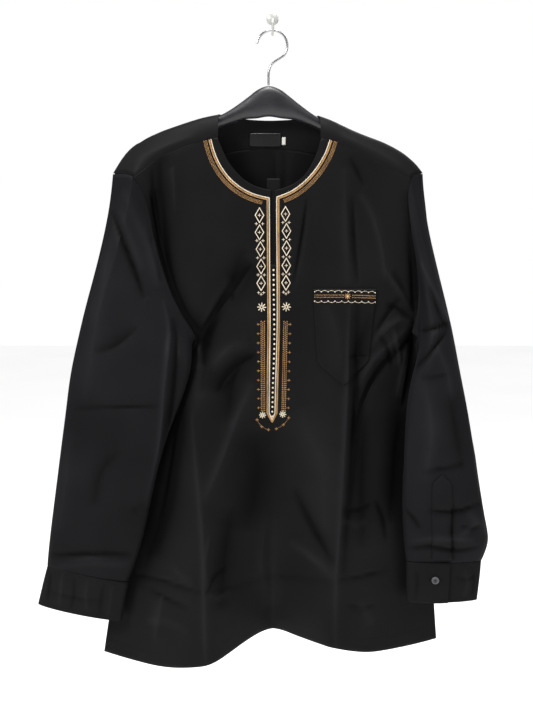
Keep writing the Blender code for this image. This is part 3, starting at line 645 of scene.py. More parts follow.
def subdivided(name: str, shape: bmesh.types.BMesh, levels: int,
               sharp_angle: float) -> bpy.types.Object:
    """Smooth a closed shape and keep its hard edges.

    Args:
        name: the new object's name.
        shape: the coarse shape, freed here.
        levels: how often each face is split.
        sharp_angle: edges that turn by more than this many degrees stay.

    Returns:
        The finished object.
    """
    crease = shape.edges.layers.float.new("crease_edge")
    for edge in shape.edges:
        if edge.is_manifold and edge.calc_face_angle(0.0) > math.radians(sharp_angle):
            edge[crease] = 1.0
    mesh = bpy.data.meshes.new(name + "_coarse")
    shape.to_mesh(mesh)
    shape.free()
    holder = link(name + "_coarse", mesh)
    smooth = holder.modifiers.new("Subdivision", "SUBSURF")
    smooth.levels = levels
    smooth.render_levels = levels
    smooth.boundary_smooth = "PRESERVE_CORNERS"
    graph = bpy.context.evaluated_depsgraph_get()
    done = bpy.data.meshes.new_from_object(holder.evaluated_get(graph))
    done.name = name
    bpy.data.objects.remove(holder)
    bpy.data.meshes.remove(mesh)
    done.shade_smooth()
    done.set_sharp_from_angle(angle=math.radians(HARD_SHADING_ANGLE))
    return link(name, done)


def softened(t: np.ndarray) -> np.ndarray:
    """Ease numbers between 0 and 1 at both ends."""
    t = np.clip(t, 0.0, 1.0)
    return t * t * (3.0 - 2.0 * t)


def rounded_path(points: Sequence[Sequence[float]], step: float = 4.0) -> np.ndarray:
    """Draw a soft line through a few points.

    Args:
        points: the points, of any dimension.
        step: distance between the points of the result.

    Returns:
        The points of the line.
    """
    knots = np.asarray(points, dtype=float)
    if len(knots) < 3:
        count = max(2, int(np.linalg.norm(knots[-1] - knots[0]) / step) + 1)
        return np.linspace(knots[0], knots[-1], count)
    padded = np.vstack([2 * knots[0] - knots[1], knots, 2 * knots[-1] - knots[-2]])
    line = []
    for a, b, c, d in zip(padded, padded[1:], padded[2:], padded[3:]):
        count = max(2, int(np.linalg.norm(c - b) / step))
        for t in np.arange(count) / count:
            line.append(0.5 * (2 * b + (c - a) * t + (2 * a - 5 * b + 4 * c - d) * t * t
                               + (3 * b - a - 3 * c + d) * t ** 3))
    line.append(knots[-1])
    return np.array(line)


@dataclass(frozen=True)
class Crease:
    """A soft ridge or trough laid over the cloth, in millimetres.

    Fields:
        path: x and drop of the line that it follows.
        width: half width.
        height: how far it stands out, or sinks in where it is negative.
        lean: pushes one side up and the other down, like a fold that lies over.
        face: the side of the shirt that it is on.
    """

    path: Line
    width: float
    height: float
    lean: float = 0.0
    face: Face = Face.FRONT

    def lift(self, x: np.ndarray, drop: np.ndarray) -> np.ndarray:
        """Work out how far it moves each place outwards.

        Args:
            x: the places' x.
            drop: the places' drop.

        Returns:
            The lift in millimetres.
        """
        step, widths_felt = 8.0, 3.0
        line = rounded_path(self.path, step)
        lengths = np.concatenate([[0.0], np.cumsum(np.linalg.norm(np.diff(line, axis=0), axis=1))])
        reach = widths_felt * self.width
        near = ((x > line[:, 0].min() - reach) & (x < line[:, 0].max() + reach)
                & (drop > line[:, 1].min() - reach) & (drop < line[:, 1].max() + reach))
        lift = np.zeros(len(x))
        if not near.any():
            return lift
        spots = np.stack([x[near], drop[near]], axis=1)
        best = np.full(len(spots), FAR)
        aside = np.zeros(len(spots))
        along = np.zeros(len(spots))
        for k in range(len(line) - 1):
            run = line[k + 1] - line[k]
            size = max(np.linalg.norm(run), 1e-9)
            offset = spots - line[k]
            t = np.clip(offset @ run / size ** 2, 0.0, 1.0)
            gap = offset - t[:, None] * run
            distance = np.linalg.norm(gap, axis=1)
            closer = distance < best
            best[closer] = distance[closer]
            side = (run[0] * offset[:, 1] - run[1] * offset[:, 0]) / size
            aside[closer] = np.where(side[closer] < 0.0, -1.0, 1.0) * distance[closer]
            along[closer] = (lengths[k] + t[closer] * size) / lengths[-1]
        u = aside / self.width
        fade = np.sin(math.pi * np.clip(along, 0.0, 1.0)) ** 0.5
        lift[near] = fade * np.exp(-np.abs(u) ** CREST) * (self.height + self.lean * u)
        return lift


def creases(*rows: tuple, face: Face = Face.FRONT) -> tuple[Crease, ...]:
    """Make one face's creases from rows of path, width, height and, where it has one, lean."""
    return tuple(Crease(*row, face=face) for row in rows)


def rim_distance(mesh: bpy.types.Mesh) -> np.ndarray:
    """Measure how far each point is from the cloth's cut edge, in millimetres.

    Args:
        mesh: a closed wall of cloth.

    Returns:
        One distance for each point.
    """
    shape = bmesh.new()
    shape.from_mesh(mesh)
    rim = {v.index for e in shape.edges if e.is_manifold
           and e.calc_face_angle(0.0) > math.radians(CUT_EDGE_ANGLE) for v in e.verts}
    shape.free()
    points = points_of(mesh) / MM
    if not rim:
        return np.full(len(points), FAR)
    tree = KDTree(len(rim))
    for index in rim:
        tree.insert(points[index], index)
    tree.balance()
    return np.array([tree.find(p)[2] for p in points])


def layer_of(points: np.ndarray, cell: float = 14.0, least_half: float = 1.5,
             firmness: float = 1.8) -> np.ndarray:
    """Tell the front layer of a flattened tube from its back layer.

    Args:
        points: the tube's points in millimetres, as x, y and z.
        cell: size of the squares that are compared.
        least_half: half the tube's depth where it is flattest.
        firmness: how soon a place counts wholly as front or back.

    Returns:
        -1 in the front layer and +1 in the back layer, softly between them at the folds.
    """
    i = np.floor(points[:, 0] / cell).astype(int)
    k = np.floor(points[:, 2] / cell).astype(int)
    i -= i.min()
    k -= k.min()
    shape = (i.max() + 1, k.max() + 1)
    low = np.full(shape, FAR)
    high = np.full(shape, -FAR)
    np.minimum.at(low, (i, k), points[:, 1])
    np.maximum.at(high, (i, k), points[:, 1])
    middle = (low[i, k] + high[i, k]) / 2.0
    half = np.maximum((high[i, k] - low[i, k]) / 2.0, least_half)
    return np.clip((points[:, 1] - middle) / half * firmness, -1.0, 1.0)


@dataclass(frozen=True)
class ClothPiece:
    """A cut piece of the shirt, as a thin shell on its solid's form.

    Fields:
        node: the solid that it stands for.
        finish: its cloth.
        flat: width and length of the rectangle that it was cut from, in metres; not used.
        area: its flat area in square metres; not used.
        levels: how finely it is split.
        creases: what folding and wear have left in it.
        unevenness: height of its shapeless waves in millimetres.
        tube: true if it has a front and a back layer.
        face: the side that it is on, where it isn't a tube.
        calm: distance from its cut edge over which creases fade in, in millimetres; 0 for a
            piece that is sewn flat on another and follows its creases to the edge.
        reach: how far its cut edge reaches out to meet the next piece, in millimetres.
        full_painted_shade_height: fold height with full painted shade and highlight, in millimetres.
        gussets: spots where it reaches further.
        slot: the record's slot for its cloth; not used.
        held: how it is held, in the frame's words; not used.
        rests_on: the pieces that carry it; not used.
    """

    # Waves to the millimetre along x and along drop, then how far apart the two layers' waves are
    BROAD_WAVES = (0.011, 0.009, 3.1)
    RIPPLES = (0.038, 0.03, 2.0)
    RIPPLE_START = 7.0
    RIPPLE_SHARE = 0.35

    node: str
    finish: ClothFinish
    flat: tuple[float, float]
    area: float
    levels: int = 2
    creases: tuple[Crease, ...] = ()
    unevenness: float = 0.8
    tube: bool = False
    face: Face = Face.FRONT
    calm: float = 9.0
    reach: float = 0.55
    full_painted_shade_height: float = 4.2
    gussets: tuple[Gusset, ...] = ()
    slot: Slot = Slot.CLOTH
    held: str = "hung"
    rests_on: tuple[str, ...] = ()

    def shape(self) -> bpy.types.Object:
        """Build the shell and lay its creases.

        Returns:
            The finished shell.
        """
        coarse = merged_copy(self.node)
        reach_out(coarse, self.reach, self.gussets)
        shell = subdivided(self.node + "_cloth", coarse, self.levels, CUT_EDGE_ANGLE)
        mesh = shell.data
        points = points_of(mesh) / MM
        x, drop = points[:, 0].copy(), -points[:, 2]
        if self.tube:
            layer = layer_of(points)
        else:
            layer = np.full(len(points), self.face.value)
        ease = softened(rim_distance(mesh) / self.calm) if self.calm else 1.0
        lift = self.waves(x, drop, layer)
        for crease in self.creases:
            share = np.clip(layer * crease.face.value, 0.0, 1.0)
            lift += crease.lift(x, drop) * share * crease.face.value * FOLD_DEPTH
        # How far each place is up on a fold or down in one, for painted highlight on crests and
        # painted shade in troughs
        tone = mesh.attributes.new(FOLD_PAINTED_SHADE, "FLOAT", "POINT")
        tone.data.foreach_set("value", np.clip(lift * layer / self.full_painted_shade_height, -1.0, 1.0))
        points[:, 1] += lift * ease
        set_points(mesh, points * MM)
        return shell

    def waves(self, x: np.ndarray, drop: np.ndarray, layer: np.ndarray) -> np.ndarray:
        """Work out the shapeless waves and ripples that no crease accounts for.

        Args:
            x: the places' x.
            drop: the places' drop.
            layer: -1 for the front layer, 1 for the back layer.

        Returns:
            The lift in millimetres.
        """
        broad, fine, start = self.BROAD_WAVES, self.RIPPLES, self.RIPPLE_START
        octaves = 2
        wave = np.array([noise.fractal(Vector((a * broad[0], b * broad[1], c * broad[2])),
                                       1.0, 2.0, octaves) for a, b, c in zip(x, drop, layer)])
        ripple = np.array([noise.noise(Vector((a * fine[0], b * fine[1], start + c * fine[2])))
                           for a, b, c in zip(x, drop, layer)])
        return (wave + self.RIPPLE_SHARE * ripple) * self.unevenness * layer

    def build(self) -> bpy.types.Object:
        """Shape the shell, give it its cloth, hide its solid and attach the shell to the shirt's
        body.

        Returns:
            The finished piece.
        """
        piece = self.shape()
        set_finish(piece, self.finish)
        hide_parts(self.node)
        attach(piece, BODY)
        return piece


# Sewing


class Surface:
    """The outer faces of finished pieces, for laying thread on them."""

    def __init__(self, *pieces: bpy.types.Object) -> None:
        """Read the pieces' meshes.

        Args:
            pieces: the finished pieces.
        """
        shape = bmesh.new()
        for piece in pieces:
            shape.from_mesh(piece.data)
        self.tree = BVHTree.FromBMesh(shape)
        shape.free()

    def lay(self, spots: np.ndarray, face: Face) -> tuple[np.ndarray, np.ndarray, np.ndarray]:
        """Find where places in x and drop meet the cloth.

        Args:
            spots: x and drop of each place in millimetres.
            face: the side that they are seen from.

        Returns:
            Which places met the cloth, their points in metres and the cloth's normals there.
        """
        ahead = Vector((0.0, -face.value, 0.0))
        met, points, normals = [], [], []
        # Each look starts a metre out on the face's own side
        for x, drop in spots:
            start = Vector((x * MM, face.value, -drop * MM))
            hit, normal, _, _ = self.tree.ray_cast(start, ahead)
            met.append(hit is not None)
            points.append(hit if hit is not None else start)
            if normal is not None and normal.dot(ahead) > 0.0:
                normal = -normal
            points[-1] = np.array(points[-1])
            normals.append(np.array(normal) if normal is not None else np.array(-ahead))
        return np.array(met), np.array(points), np.array(normals)


@dataclass(frozen=True)
class Thread:
    """How a row of stitches is sewn, in millimetres and degrees.

    Fields:
        finish: the thread's material.
        pitch: distance from stitch to stitch.
        length: length of a stitch.
        width: width of a stitch.
        height: thickness of a stitch.
        slant: how far a stitch turns from the row's direction.
        scatter: how unevenly stitches turn.
        sides: number of sides of a stitch.
    """

    finish: ThreadFinish
    pitch: float
    length: float
    width: float
    height: float
    slant: float = 0.0
    scatter: float = 3.0
    sides: int = 6


class StitchTree:
    """The geometry nodes that turn lines into rows of stitches."""

    NAME = "stitch_row"
    NUMBERS = ("Pitch", "Length", "Width", "Height", "Slant", "Scatter", "Lift")
    LIFT_SHARE = 0.15
    BEAD_RINGS = 4

    @classmethod
    def tree(cls) -> bpy.types.NodeTree:
        """Build the tree.

        Returns:
            The tree, made once.
        """
        made = bpy.data.node_groups.get(cls.NAME)
        if made is not None:
            return made
        made = bpy.data.node_groups.new(cls.NAME, "GeometryNodeTree")
        face = made.interface
        face.new_socket(name="Geometry", in_out="INPUT", socket_type="NodeSocketGeometry")
        for name in cls.NUMBERS:
            face.new_socket(name=name, in_out="INPUT", socket_type="NodeSocketFloat")
        face.new_socket(name="Sides", in_out="INPUT", socket_type="NodeSocketInt")
        face.new_socket(name="Seed", in_out="INPUT", socket_type="NodeSocketInt")
        face.new_socket(name="Material", in_out="INPUT", socket_type="NodeSocketMaterial")
        face.new_socket(name="Geometry", in_out="OUTPUT", socket_type="NodeSocketGeometry")
        hand = NodeTree(made)
        given = made.nodes.new("NodeGroupInput").outputs
        line = hand.node("GeometryNodeMeshToCurve", Mesh=given["Geometry"])
        spaced = hand.node("GeometryNodeResampleCurve", {"mode": "LENGTH"},
                           Curve=line.outputs["Curve"], Length=given["Pitch"])
        up = hand.node("GeometryNodeInputNamedAttribute", {"data_type": "FLOAT_VECTOR"}, Name="up")
        rise = hand.node("ShaderNodeVectorMath", {"operation": "SCALE"},
                         Scale=given["Lift"])
        hand.feed(rise.inputs[0], up.outputs["Attribute"])
        raised = hand.node("GeometryNodeSetPosition", Geometry=spaced.outputs["Curve"],
                           Offset=rise.outputs["Vector"])
        tangent = hand.node("GeometryNodeInputTangent")
        stand = hand.node("FunctionNodeAlignRotationToVector", {"axis": "Z"},
                          Vector=up.outputs["Attribute"])
        follow = hand.node("FunctionNodeAlignRotationToVector", {"axis": "X", "pivot_axis": "Z"},
                           Rotation=stand.outputs["Rotation"], Vector=tangent.outputs["Tangent"])
        turn = hand.node("FunctionNodeRotateRotation", {"rotation_space": "LOCAL"},
                         Rotation=follow.outputs["Rotation"])
        hand.feed(turn.inputs[1], cls.slant(hand, given))
        size = hand.node("ShaderNodeCombineXYZ", X=given["Length"], Y=given["Width"],
                         Z=given["Height"])
        bead = hand.node("GeometryNodeMeshUVSphere", Segments=given["Sides"],
                         Rings=cls.BEAD_RINGS, Radius=0.5)
        shaped = hand.node("GeometryNodeTransform", Geometry=bead.outputs["Mesh"],
                           Scale=size.outputs["Vector"])
        placed = hand.node("GeometryNodeInstanceOnPoints", Points=raised.outputs["Geometry"],
                           Instance=shaped.outputs["Geometry"], Rotation=turn.outputs["Rotation"])
        real = hand.node("GeometryNodeRealizeInstances", Geometry=placed.outputs["Instances"])
        soft = hand.node("GeometryNodeSetShadeSmooth", Geometry=real.outputs["Geometry"])
        dressed = hand.node("GeometryNodeSetMaterial", Geometry=soft.outputs["Geometry"],
                            Material=given["Material"])
        put = made.nodes.new("NodeGroupOutput")
        hand.feed(put.inputs["Geometry"], dressed.outputs["Geometry"])
        return made

    @staticmethod
    def slant(hand: NodeTree, given: bpy.types.bpy_prop_collection) -> bpy.types.NodeSocket:
        """Work out how far each stitch turns.

        Args:
            hand: the tree's hand.
            given: the group's inputs.

        Returns:
            A rotation about the cloth's normal.
        """
        chance = hand.node("FunctionNodeRandomValue", {"data_type": "FLOAT"}, Seed=given["Seed"])
        hand.feed(chance.inputs[2], hand.math("MULTIPLY", given["Scatter"], -1.0))
        hand.feed(chance.inputs[3], given["Scatter"])
        angle = hand.math("ADD", given["Slant"], chance.outputs[1])
        turn = hand.node("ShaderNodeCombineXYZ", Z=angle)
        spin = hand.node("FunctionNodeEulerToRotation", Euler=turn.outputs["Vector"])
        return spin.outputs["Rotation"]

    @classmethod
    def sew(cls, lines: bpy.types.Mesh, thread: Thread, seed: int) -> bpy.types.Mesh:
        """Sew along a mesh of lines.

        Args:
            lines: edges with the cloth's normal in the attribute "up".
            thread: how it is sewn.
            seed: start of the random turns.

        Returns:
            The stitches as a plain mesh.
        """
        tree = cls.tree()
        holder = link("lines", lines)
        rows = holder.modifiers.new("Stitches", "NODES")
        rows.node_group = tree
        values = {"Pitch": thread.pitch * MM, "Length": thread.length * MM,
                  "Width": thread.width * MM, "Height": thread.height * MM,
                  "Slant": math.radians(thread.slant), "Scatter": math.radians(thread.scatter),
                  "Lift": thread.height * MM * cls.LIFT_SHARE, "Sides": thread.sides,
                  "Seed": seed, "Material": thread.finish.material()}
        for item in tree.interface.items_tree:
            if item.in_out == "INPUT" and item.name in values:
                rows[item.identifier] = values[item.name]
        graph = bpy.context.evaluated_depsgraph_get()
        graph.update()
        done = bpy.data.meshes.new_from_object(holder.evaluated_get(graph))
        bpy.data.objects.remove(holder)
        bpy.data.meshes.remove(lines)
        return done


def joined(name: str, meshes: Sequence[bpy.types.Mesh]) -> bpy.types.Object:
    """Join meshes into one object and keep their materials.

    Args:
        name: the object's name.
        meshes: the meshes, removed here.

    Returns:
        The object.
    """
    materials: list[bpy.types.Material] = []
    shape = bmesh.new()
    for mesh in meshes:
        first = len(shape.faces)
        shape.from_mesh(mesh)
        shape.faces.ensure_lookup_table()
        own = list(mesh.materials)
        for material in own:
            if material not in materials:
                materials.append(material)
        for face in shape.faces[first:]:
            face.material_index = materials.index(own[face.material_index])
    together = bpy.data.meshes.new(name)
    shape.to_mesh(together)
    shape.free()
    for material in materials:
        together.materials.append(material)
    for mesh in meshes:
        bpy.data.meshes.remove(mesh)
    return link(name, together)


def finish_trim(piece: bpy.types.Object, nodes: Sequence[str] = ()) -> None:
    """Attach a piece that isn't cloth to the shirt's body and hide the solids that it stands for.

    Args:
        piece: the piece.
        nodes: the solids that it stands for.
    """
    if nodes:
        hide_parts(*nodes)
    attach(piece, BODY)


def beside(line: np.ndarray, distance: float) -> np.ndarray:
    """Draw a line at a distance beside another.

    Args:
        line: x and drop of the first line.
        distance: how far beside it: to the right of its run, or to the left where negative.

    Returns:
        The second line.
    """
    run = np.gradient(line, axis=0)
    run /= np.maximum(np.linalg.norm(run, axis=1, keepdims=True), 1e-9)
    return line + np.stack([-run[:, 1], run[:, 0]], axis=1) * distance


class Needlework:
    """Rows of stitches that are gathered, laid on the cloth and made into one piece."""

    def __init__(self, name: str) -> None:
        """Start with no rows."""
        self.name = name
        self.rows: dict[tuple[Thread, Face], list[np.ndarray]] = {}

    def row(self, thread: Thread, spots: Iterable[Spot] | np.ndarray, face: Face = Face.FRONT,
            step: float = 1.0) -> None:
        """Add a row.

        Args:
            thread: how it is sewn.
            spots: x and drop of the corners of its line.
            face: the side of the shirt that it is on.
            step: greatest distance between two places that are laid on the cloth.
        """
        corners = np.asarray(list(spots), dtype=float)
        line = [corners[0]]
        for a, b in zip(corners, corners[1:]):
            count = max(1, int(math.ceil(np.linalg.norm(b - a) / step)))
            line += [a + (b - a) * (k + 1) / count for k in range(count)]
        self.rows.setdefault((thread, face), []).append(np.array(line))

    def build(self, surface: Surface, slot: Slot = Slot.CLOTH) -> bpy.types.Object:
        """Lay all rows and sew them.

        Args:
            surface: the cloth under them.
            slot: the record's slot for the thread; not used.

        Returns:
            The finished piece.
        """
        meshes = []
        for number, ((thread, face), lines) in enumerate(self.rows.items()):
            verts: list[np.ndarray] = []
            ups: list[np.ndarray] = []
            edges: list[tuple[int, int]] = []
            for line in lines:
                met, points, normals = surface.lay(line, face)
                for k in range(len(line)):
                    if k and met[k] and met[k - 1]:
                        edges.append((len(verts) - 1, len(verts)))
                    verts.append(points[k])
                    ups.append(normals[k])
            mesh = bpy.data.meshes.new(self.name + "_lines")
            mesh.from_pydata([tuple(v) for v in verts], edges, [])
            up = mesh.attributes.new("up", "FLOAT_VECTOR", "POINT")
            up.data.foreach_set("vector", np.array(ups).ravel())
            meshes.append(StitchTree.sew(mesh, thread, SEED + number))
        piece = joined(self.name, meshes)
        finish_trim(piece)
        return piece


# Each thread's finish, pitch, length, width and height
SATIN_CREAM = Thread(CREAM_THREAD, 0.72, 2.1, 0.85, 0.7, slant=72.0)
SATIN_GOLD = Thread(GOLD_THREAD, 0.75, 2.7, 0.9, 0.75, slant=68.0)
PLAIT_GOLD = Thread(GOLD_THREAD, 1.9, 2.2, 0.85, 0.9, slant=48.0)
PLAIT_GOLD_BACK = Thread(GOLD_THREAD, 1.9, 2.2, 0.85, 0.9, slant=-48.0)
FINE_CREAM = Thread(CREAM_THREAD, 0.6, 1.5, 1.35, 0.75, slant=35.0)
PETAL_CREAM = Thread(CREAM_THREAD, 1.1, 2.5, 1.65, 0.9)
PETAL_GOLD = Thread(GOLD_THREAD, 0.9, 2.0, 1.3, 0.8)
FINE_GOLD = Thread(GOLD_THREAD, 0.8, 1.5, 0.75, 0.55)
CHECK_GOLD = Thread(GOLD_THREAD, 3.0, 2.1, 1.5, 0.85)
DOT_GOLD = Thread(GOLD_THREAD, 2.1, 1.3, 0.8, 0.55)
CROSS_CREAM = Thread(CREAM_THREAD, 0.6, 1.2, 0.85, 0.6)
SCALLOP_CREAM = Thread(CREAM_THREAD, 0.75, 1.3, 0.6, 0.5)
BEAD_CREAM = Thread(CREAM_THREAD, 6.9, 3.0, 3.0, 1.6, sides=12)
TOP_STITCH = Thread(BLACK_THREAD, 2.8, 2.1, 0.55, 0.45)
FINE_STITCH = Thread(BLACK_THREAD, 2.0, 1.5, 0.45, 0.4)
BUTTONHOLE_STITCH = Thread(BLACK_THREAD, 0.5, 1.5, 0.55, 0.5, slant=85.0)


def star(work: Needlework, thread: Thread, x: float, drop: float, radius: float,
         petals: int = 8, heart: float = 0.34) -> None:
    """Add a star of petals round a point.

    Args:
        work: the needlework that it joins.
        thread: how a petal is sewn.
        x: middle of the star.
        drop: middle of the star.
        radius: reach of a petal.
        petals: how many there are.
        heart: where a petal starts, as a share of the radius.
    """
    for k in range(petals):
        angle = 2.0 * math.pi * (k + 0.5 / petals) / petals
        way = np.array([math.cos(angle), math.sin(angle)])
        reach = radius - thread.length / 2
        work.row(thread, [np.array([x, drop]) + way * radius * heart,
                          np.array([x, drop]) + way * reach])


def cross(work: Needlework, thread: Thread, x: float, drop: float, arm: float,
          shortest: float = 0.2) -> None:
    """Add a small upright cross.

    Args:
        work: the needlework that it joins.
        thread: how its arms are sewn.
        x: middle of the cross.
        drop: middle of the cross.
        arm: length of each arm.
        shortest: least length of the line that an arm is sewn along.
    """
    reach = max(arm - thread.length / 2, shortest)
    work.row(thread, [(x - reach, drop), (x + reach, drop)])
    work.row(thread, [(x, drop - reach), (x, drop + reach)])


@dataclass(frozen=True)
class NeckOrnament:
    """Cream and gold lines that follow the neck curve, with a plaited gold band outside them."""

    left: Line = ((-87.0, 178.5), (-82.5, 195.0), (-77.0, 208.5), (-69.0, 222.0), (-59.5, 233.5),
                  (-49.0, 242.5), (-38.0, 249.5), (-24.0, 255.3), (-5.2, 260.0))
    right: Line = ((80.0, 179.5), (75.0, 194.0), (69.0, 206.0), (61.0, 218.5), (51.5, 230.0),
                   (41.0, 240.0), (28.5, 249.0), (17.0, 254.5), (5.6, 258.5))
    gold_aside: float = 2.5
    band_aside: float = 8.4
    plait_aside: float = 1.9
    band_stop: float = 14.0
    step: float = 2.0

    def gather(self, work: Needlework) -> None:
        """Add the neck's rows to the needlework.

        Args:
            work: the needlework that they join.
        """
        for points, side in ((self.left, 1.0), (self.right, -1.0)):
            line = rounded_path(points, self.step)
            work.row(SATIN_CREAM, line)
            work.row(SATIN_GOLD, beside(line, self.gold_aside * side))
            band = beside(line, self.band_aside * side)
            band = band[np.abs(band[:, 0]) > self.band_stop]
            first = PLAIT_GOLD if side > 0 else PLAIT_GOLD_BACK
            second = PLAIT_GOLD_BACK if side > 0 else PLAIT_GOLD
            work.row(first, beside(band, -self.plait_aside * side))
            work.row(second, band)
            work.row(first, beside(band, self.plait_aside * side))


@dataclass(frozen=True)
class SlitOrnament:
    """The long ornament down the middle: framed dots, diamonds, stars and checked bands."""

    cream_left: Line = ((-5.2, 260.0), (-4.9, 305.0), (-4.6, 352.0), (-4.0, 440.0), (-4.9, 520.0),
                        (-5.2, 566.0))
    cream_right: Line = ((5.6, 258.5), (5.6, 305.0), (6.0, 352.0), (6.2, 440.0), (4.2, 520.0),
                         (3.2, 566.0))
    point: Spot = (-0.9, 576.0)
    gold_aside: float = 2.7
    gold_point_drop: float = 3.375
    step: float = 3.0
    fine_step: float = 2.0
    dots: Line = ((1.0, 361.0), (1.4, 400.0), (2.2, 465.0), (0.4, 520.0), (-0.8, 571.0))
    diamonds_left: Line = ((-18.9, 284.0), (-18.9, 308.0), (-17.6, 331.6), (-16.6, 356.0),
                           (-16.6, 379.7))
    diamonds_right: Line = ((17.8, 282.2), (19.2, 306.1), (19.3, 330.2), (19.0, 354.7),
                            (18.6, 379.0))
    half_width: float = 6.0
    half_height: float = 10.4
    heart_arm: float = 2.5
    between_aside: float = 4.4
    between_arm: float = 2.3
    below: Line = ((-3.6, 13.2), (3.6, 13.2), (0.0, 15.6))
    below_arm: float = 2.2
    stars: tuple[Triple, ...] = ((-15.8, 413.6, 6.6), (19.1, 413.1, 6.6), (-14.7, 568.8, 5.3),
                                 (14.4, 567.5, 5.3))
    bands: tuple[tuple[Spot, Spot], ...] = (((-14.3, 433.9), (-13.9, 562.0)),
                                            ((18.0, 433.9), (15.6, 562.0)))
    band_columns: int = 3
    column_pitch: float = 2.35
    marks: int = 10
    marks_start: float = 0.3
    marks_spare: float = 0.4
    mark_aside: float = 6.7
    mark_arm: float = 1.9
    mark_stem: tuple[float, float] = (1.2, 2.4)
    arc_arm: float = 2.4
    arcs: tuple[Line, ...] = (((-22.6, 575.6), (-15.9, 585.8), (-6.1, 590.8)),
                              ((23.0, 572.3), (15.3, 582.9), (5.1, 589.3)))

    def frame_lines(self, work: Needlework) -> None:
        """Add the cream and gold lines that frame the dots and meet in a point.

        Args:
            work: the needlework that they join.
        """
        tip = np.array(self.point)
        for points, side in ((self.cream_left, 1.0), (self.cream_right, -1.0)):
            line = rounded_path(points, self.step)
            work.row(SATIN_CREAM, np.vstack([line, tip]))
            gold = beside(line, self.gold_aside * side)
            gold[0] += (0.0, self.gold_aside)
            work.row(SATIN_GOLD, np.vstack([gold, tip + (0.0, self.gold_point_drop)]))

    def dotted(self, work: Needlework) -> None:
        """Add the row of raised dots."""
        work.row(BEAD_CREAM, rounded_path(self.dots, self.fine_step))

    def diamond_column(self, work: Needlework, middles: Sequence[Spot]) -> None:
        """Add one column of diamonds, with small crosses between them.

        Args:
            work: the needlework that they join.
            middles: middle of each diamond.
        """
        for number, (x, drop) in enumerate(middles):
            work.row(FINE_CREAM, [(x, drop - self.half_height), (x + self.half_width, drop),
                                  (x, drop + self.half_height), (x - self.half_width, drop),
                                  (x, drop - self.half_height)])
            cross(work, CROSS_CREAM, x, drop, self.heart_arm)
            if number + 1 < len(middles):
                half_way = (drop + middles[number + 1][1]) / 2
                x_half_way = (x + middles[number + 1][0]) / 2
                for aside in (-self.between_aside, self.between_aside):
                    cross(work, CROSS_CREAM, x_half_way + aside, half_way, self.between_arm)
        x, drop = middles[-1]
        for aside, down in self.below:
            cross(work, CROSS_CREAM, x + aside, drop + down, self.below_arm)

    def checked_band(self, work: Needlework, top: Spot, foot: Spot, outward: float) -> None:
        """Add a checked gold band with a row of small crosses outside it.

        Args:
            work: the needlework that it joins.
            top: middle of its upper end.
            foot: middle of its lower end.
            outward: -1 or 1, the side that the crosses are on.
        """
        for column in range(self.band_columns):
            aside = (column - (self.band_columns - 1) / 2) * self.column_pitch
            late = CHECK_GOLD.pitch / 2 * (column % 2)
            work.row(CHECK_GOLD, [(top[0] + aside, top[1] + late), (foot[0] + aside, foot[1])])
        for k in range(self.marks):
            t = (k + self.marks_start) / (self.marks - self.marks_spare)
            x = top[0] + (foot[0] - top[0]) * t + outward * self.mark_aside
            drop = top[1] + (foot[1] - top[1]) * t
            cross(work, FINE_GOLD, x, drop, self.mark_arm)
            work.row(FINE_GOLD, [(x - outward * reach, drop) for reach in self.mark_stem])

    def gather(self, work: Needlework) -> None:
        """Add every row of the ornament to the needlework.

        Args:
            work: the needlework that they join.
        """
        self.frame_lines(work)
        self.dotted(work)
        self.diamond_column(work, self.diamonds_left)
        self.diamond_column(work, self.diamonds_right)
        for x, drop, radius in self.stars:
            star(work, PETAL_CREAM, x, drop, radius)
        for (top, foot), outward in zip(self.bands, (-1.0, 1.0)):
            self.checked_band(work, top, foot, outward)
        for arc in self.arcs:
            work.row(DOT_GOLD, rounded_path(arc, self.fine_step))
            for x, drop in arc:
                cross(work, FINE_GOLD, x, drop, self.arc_arm)


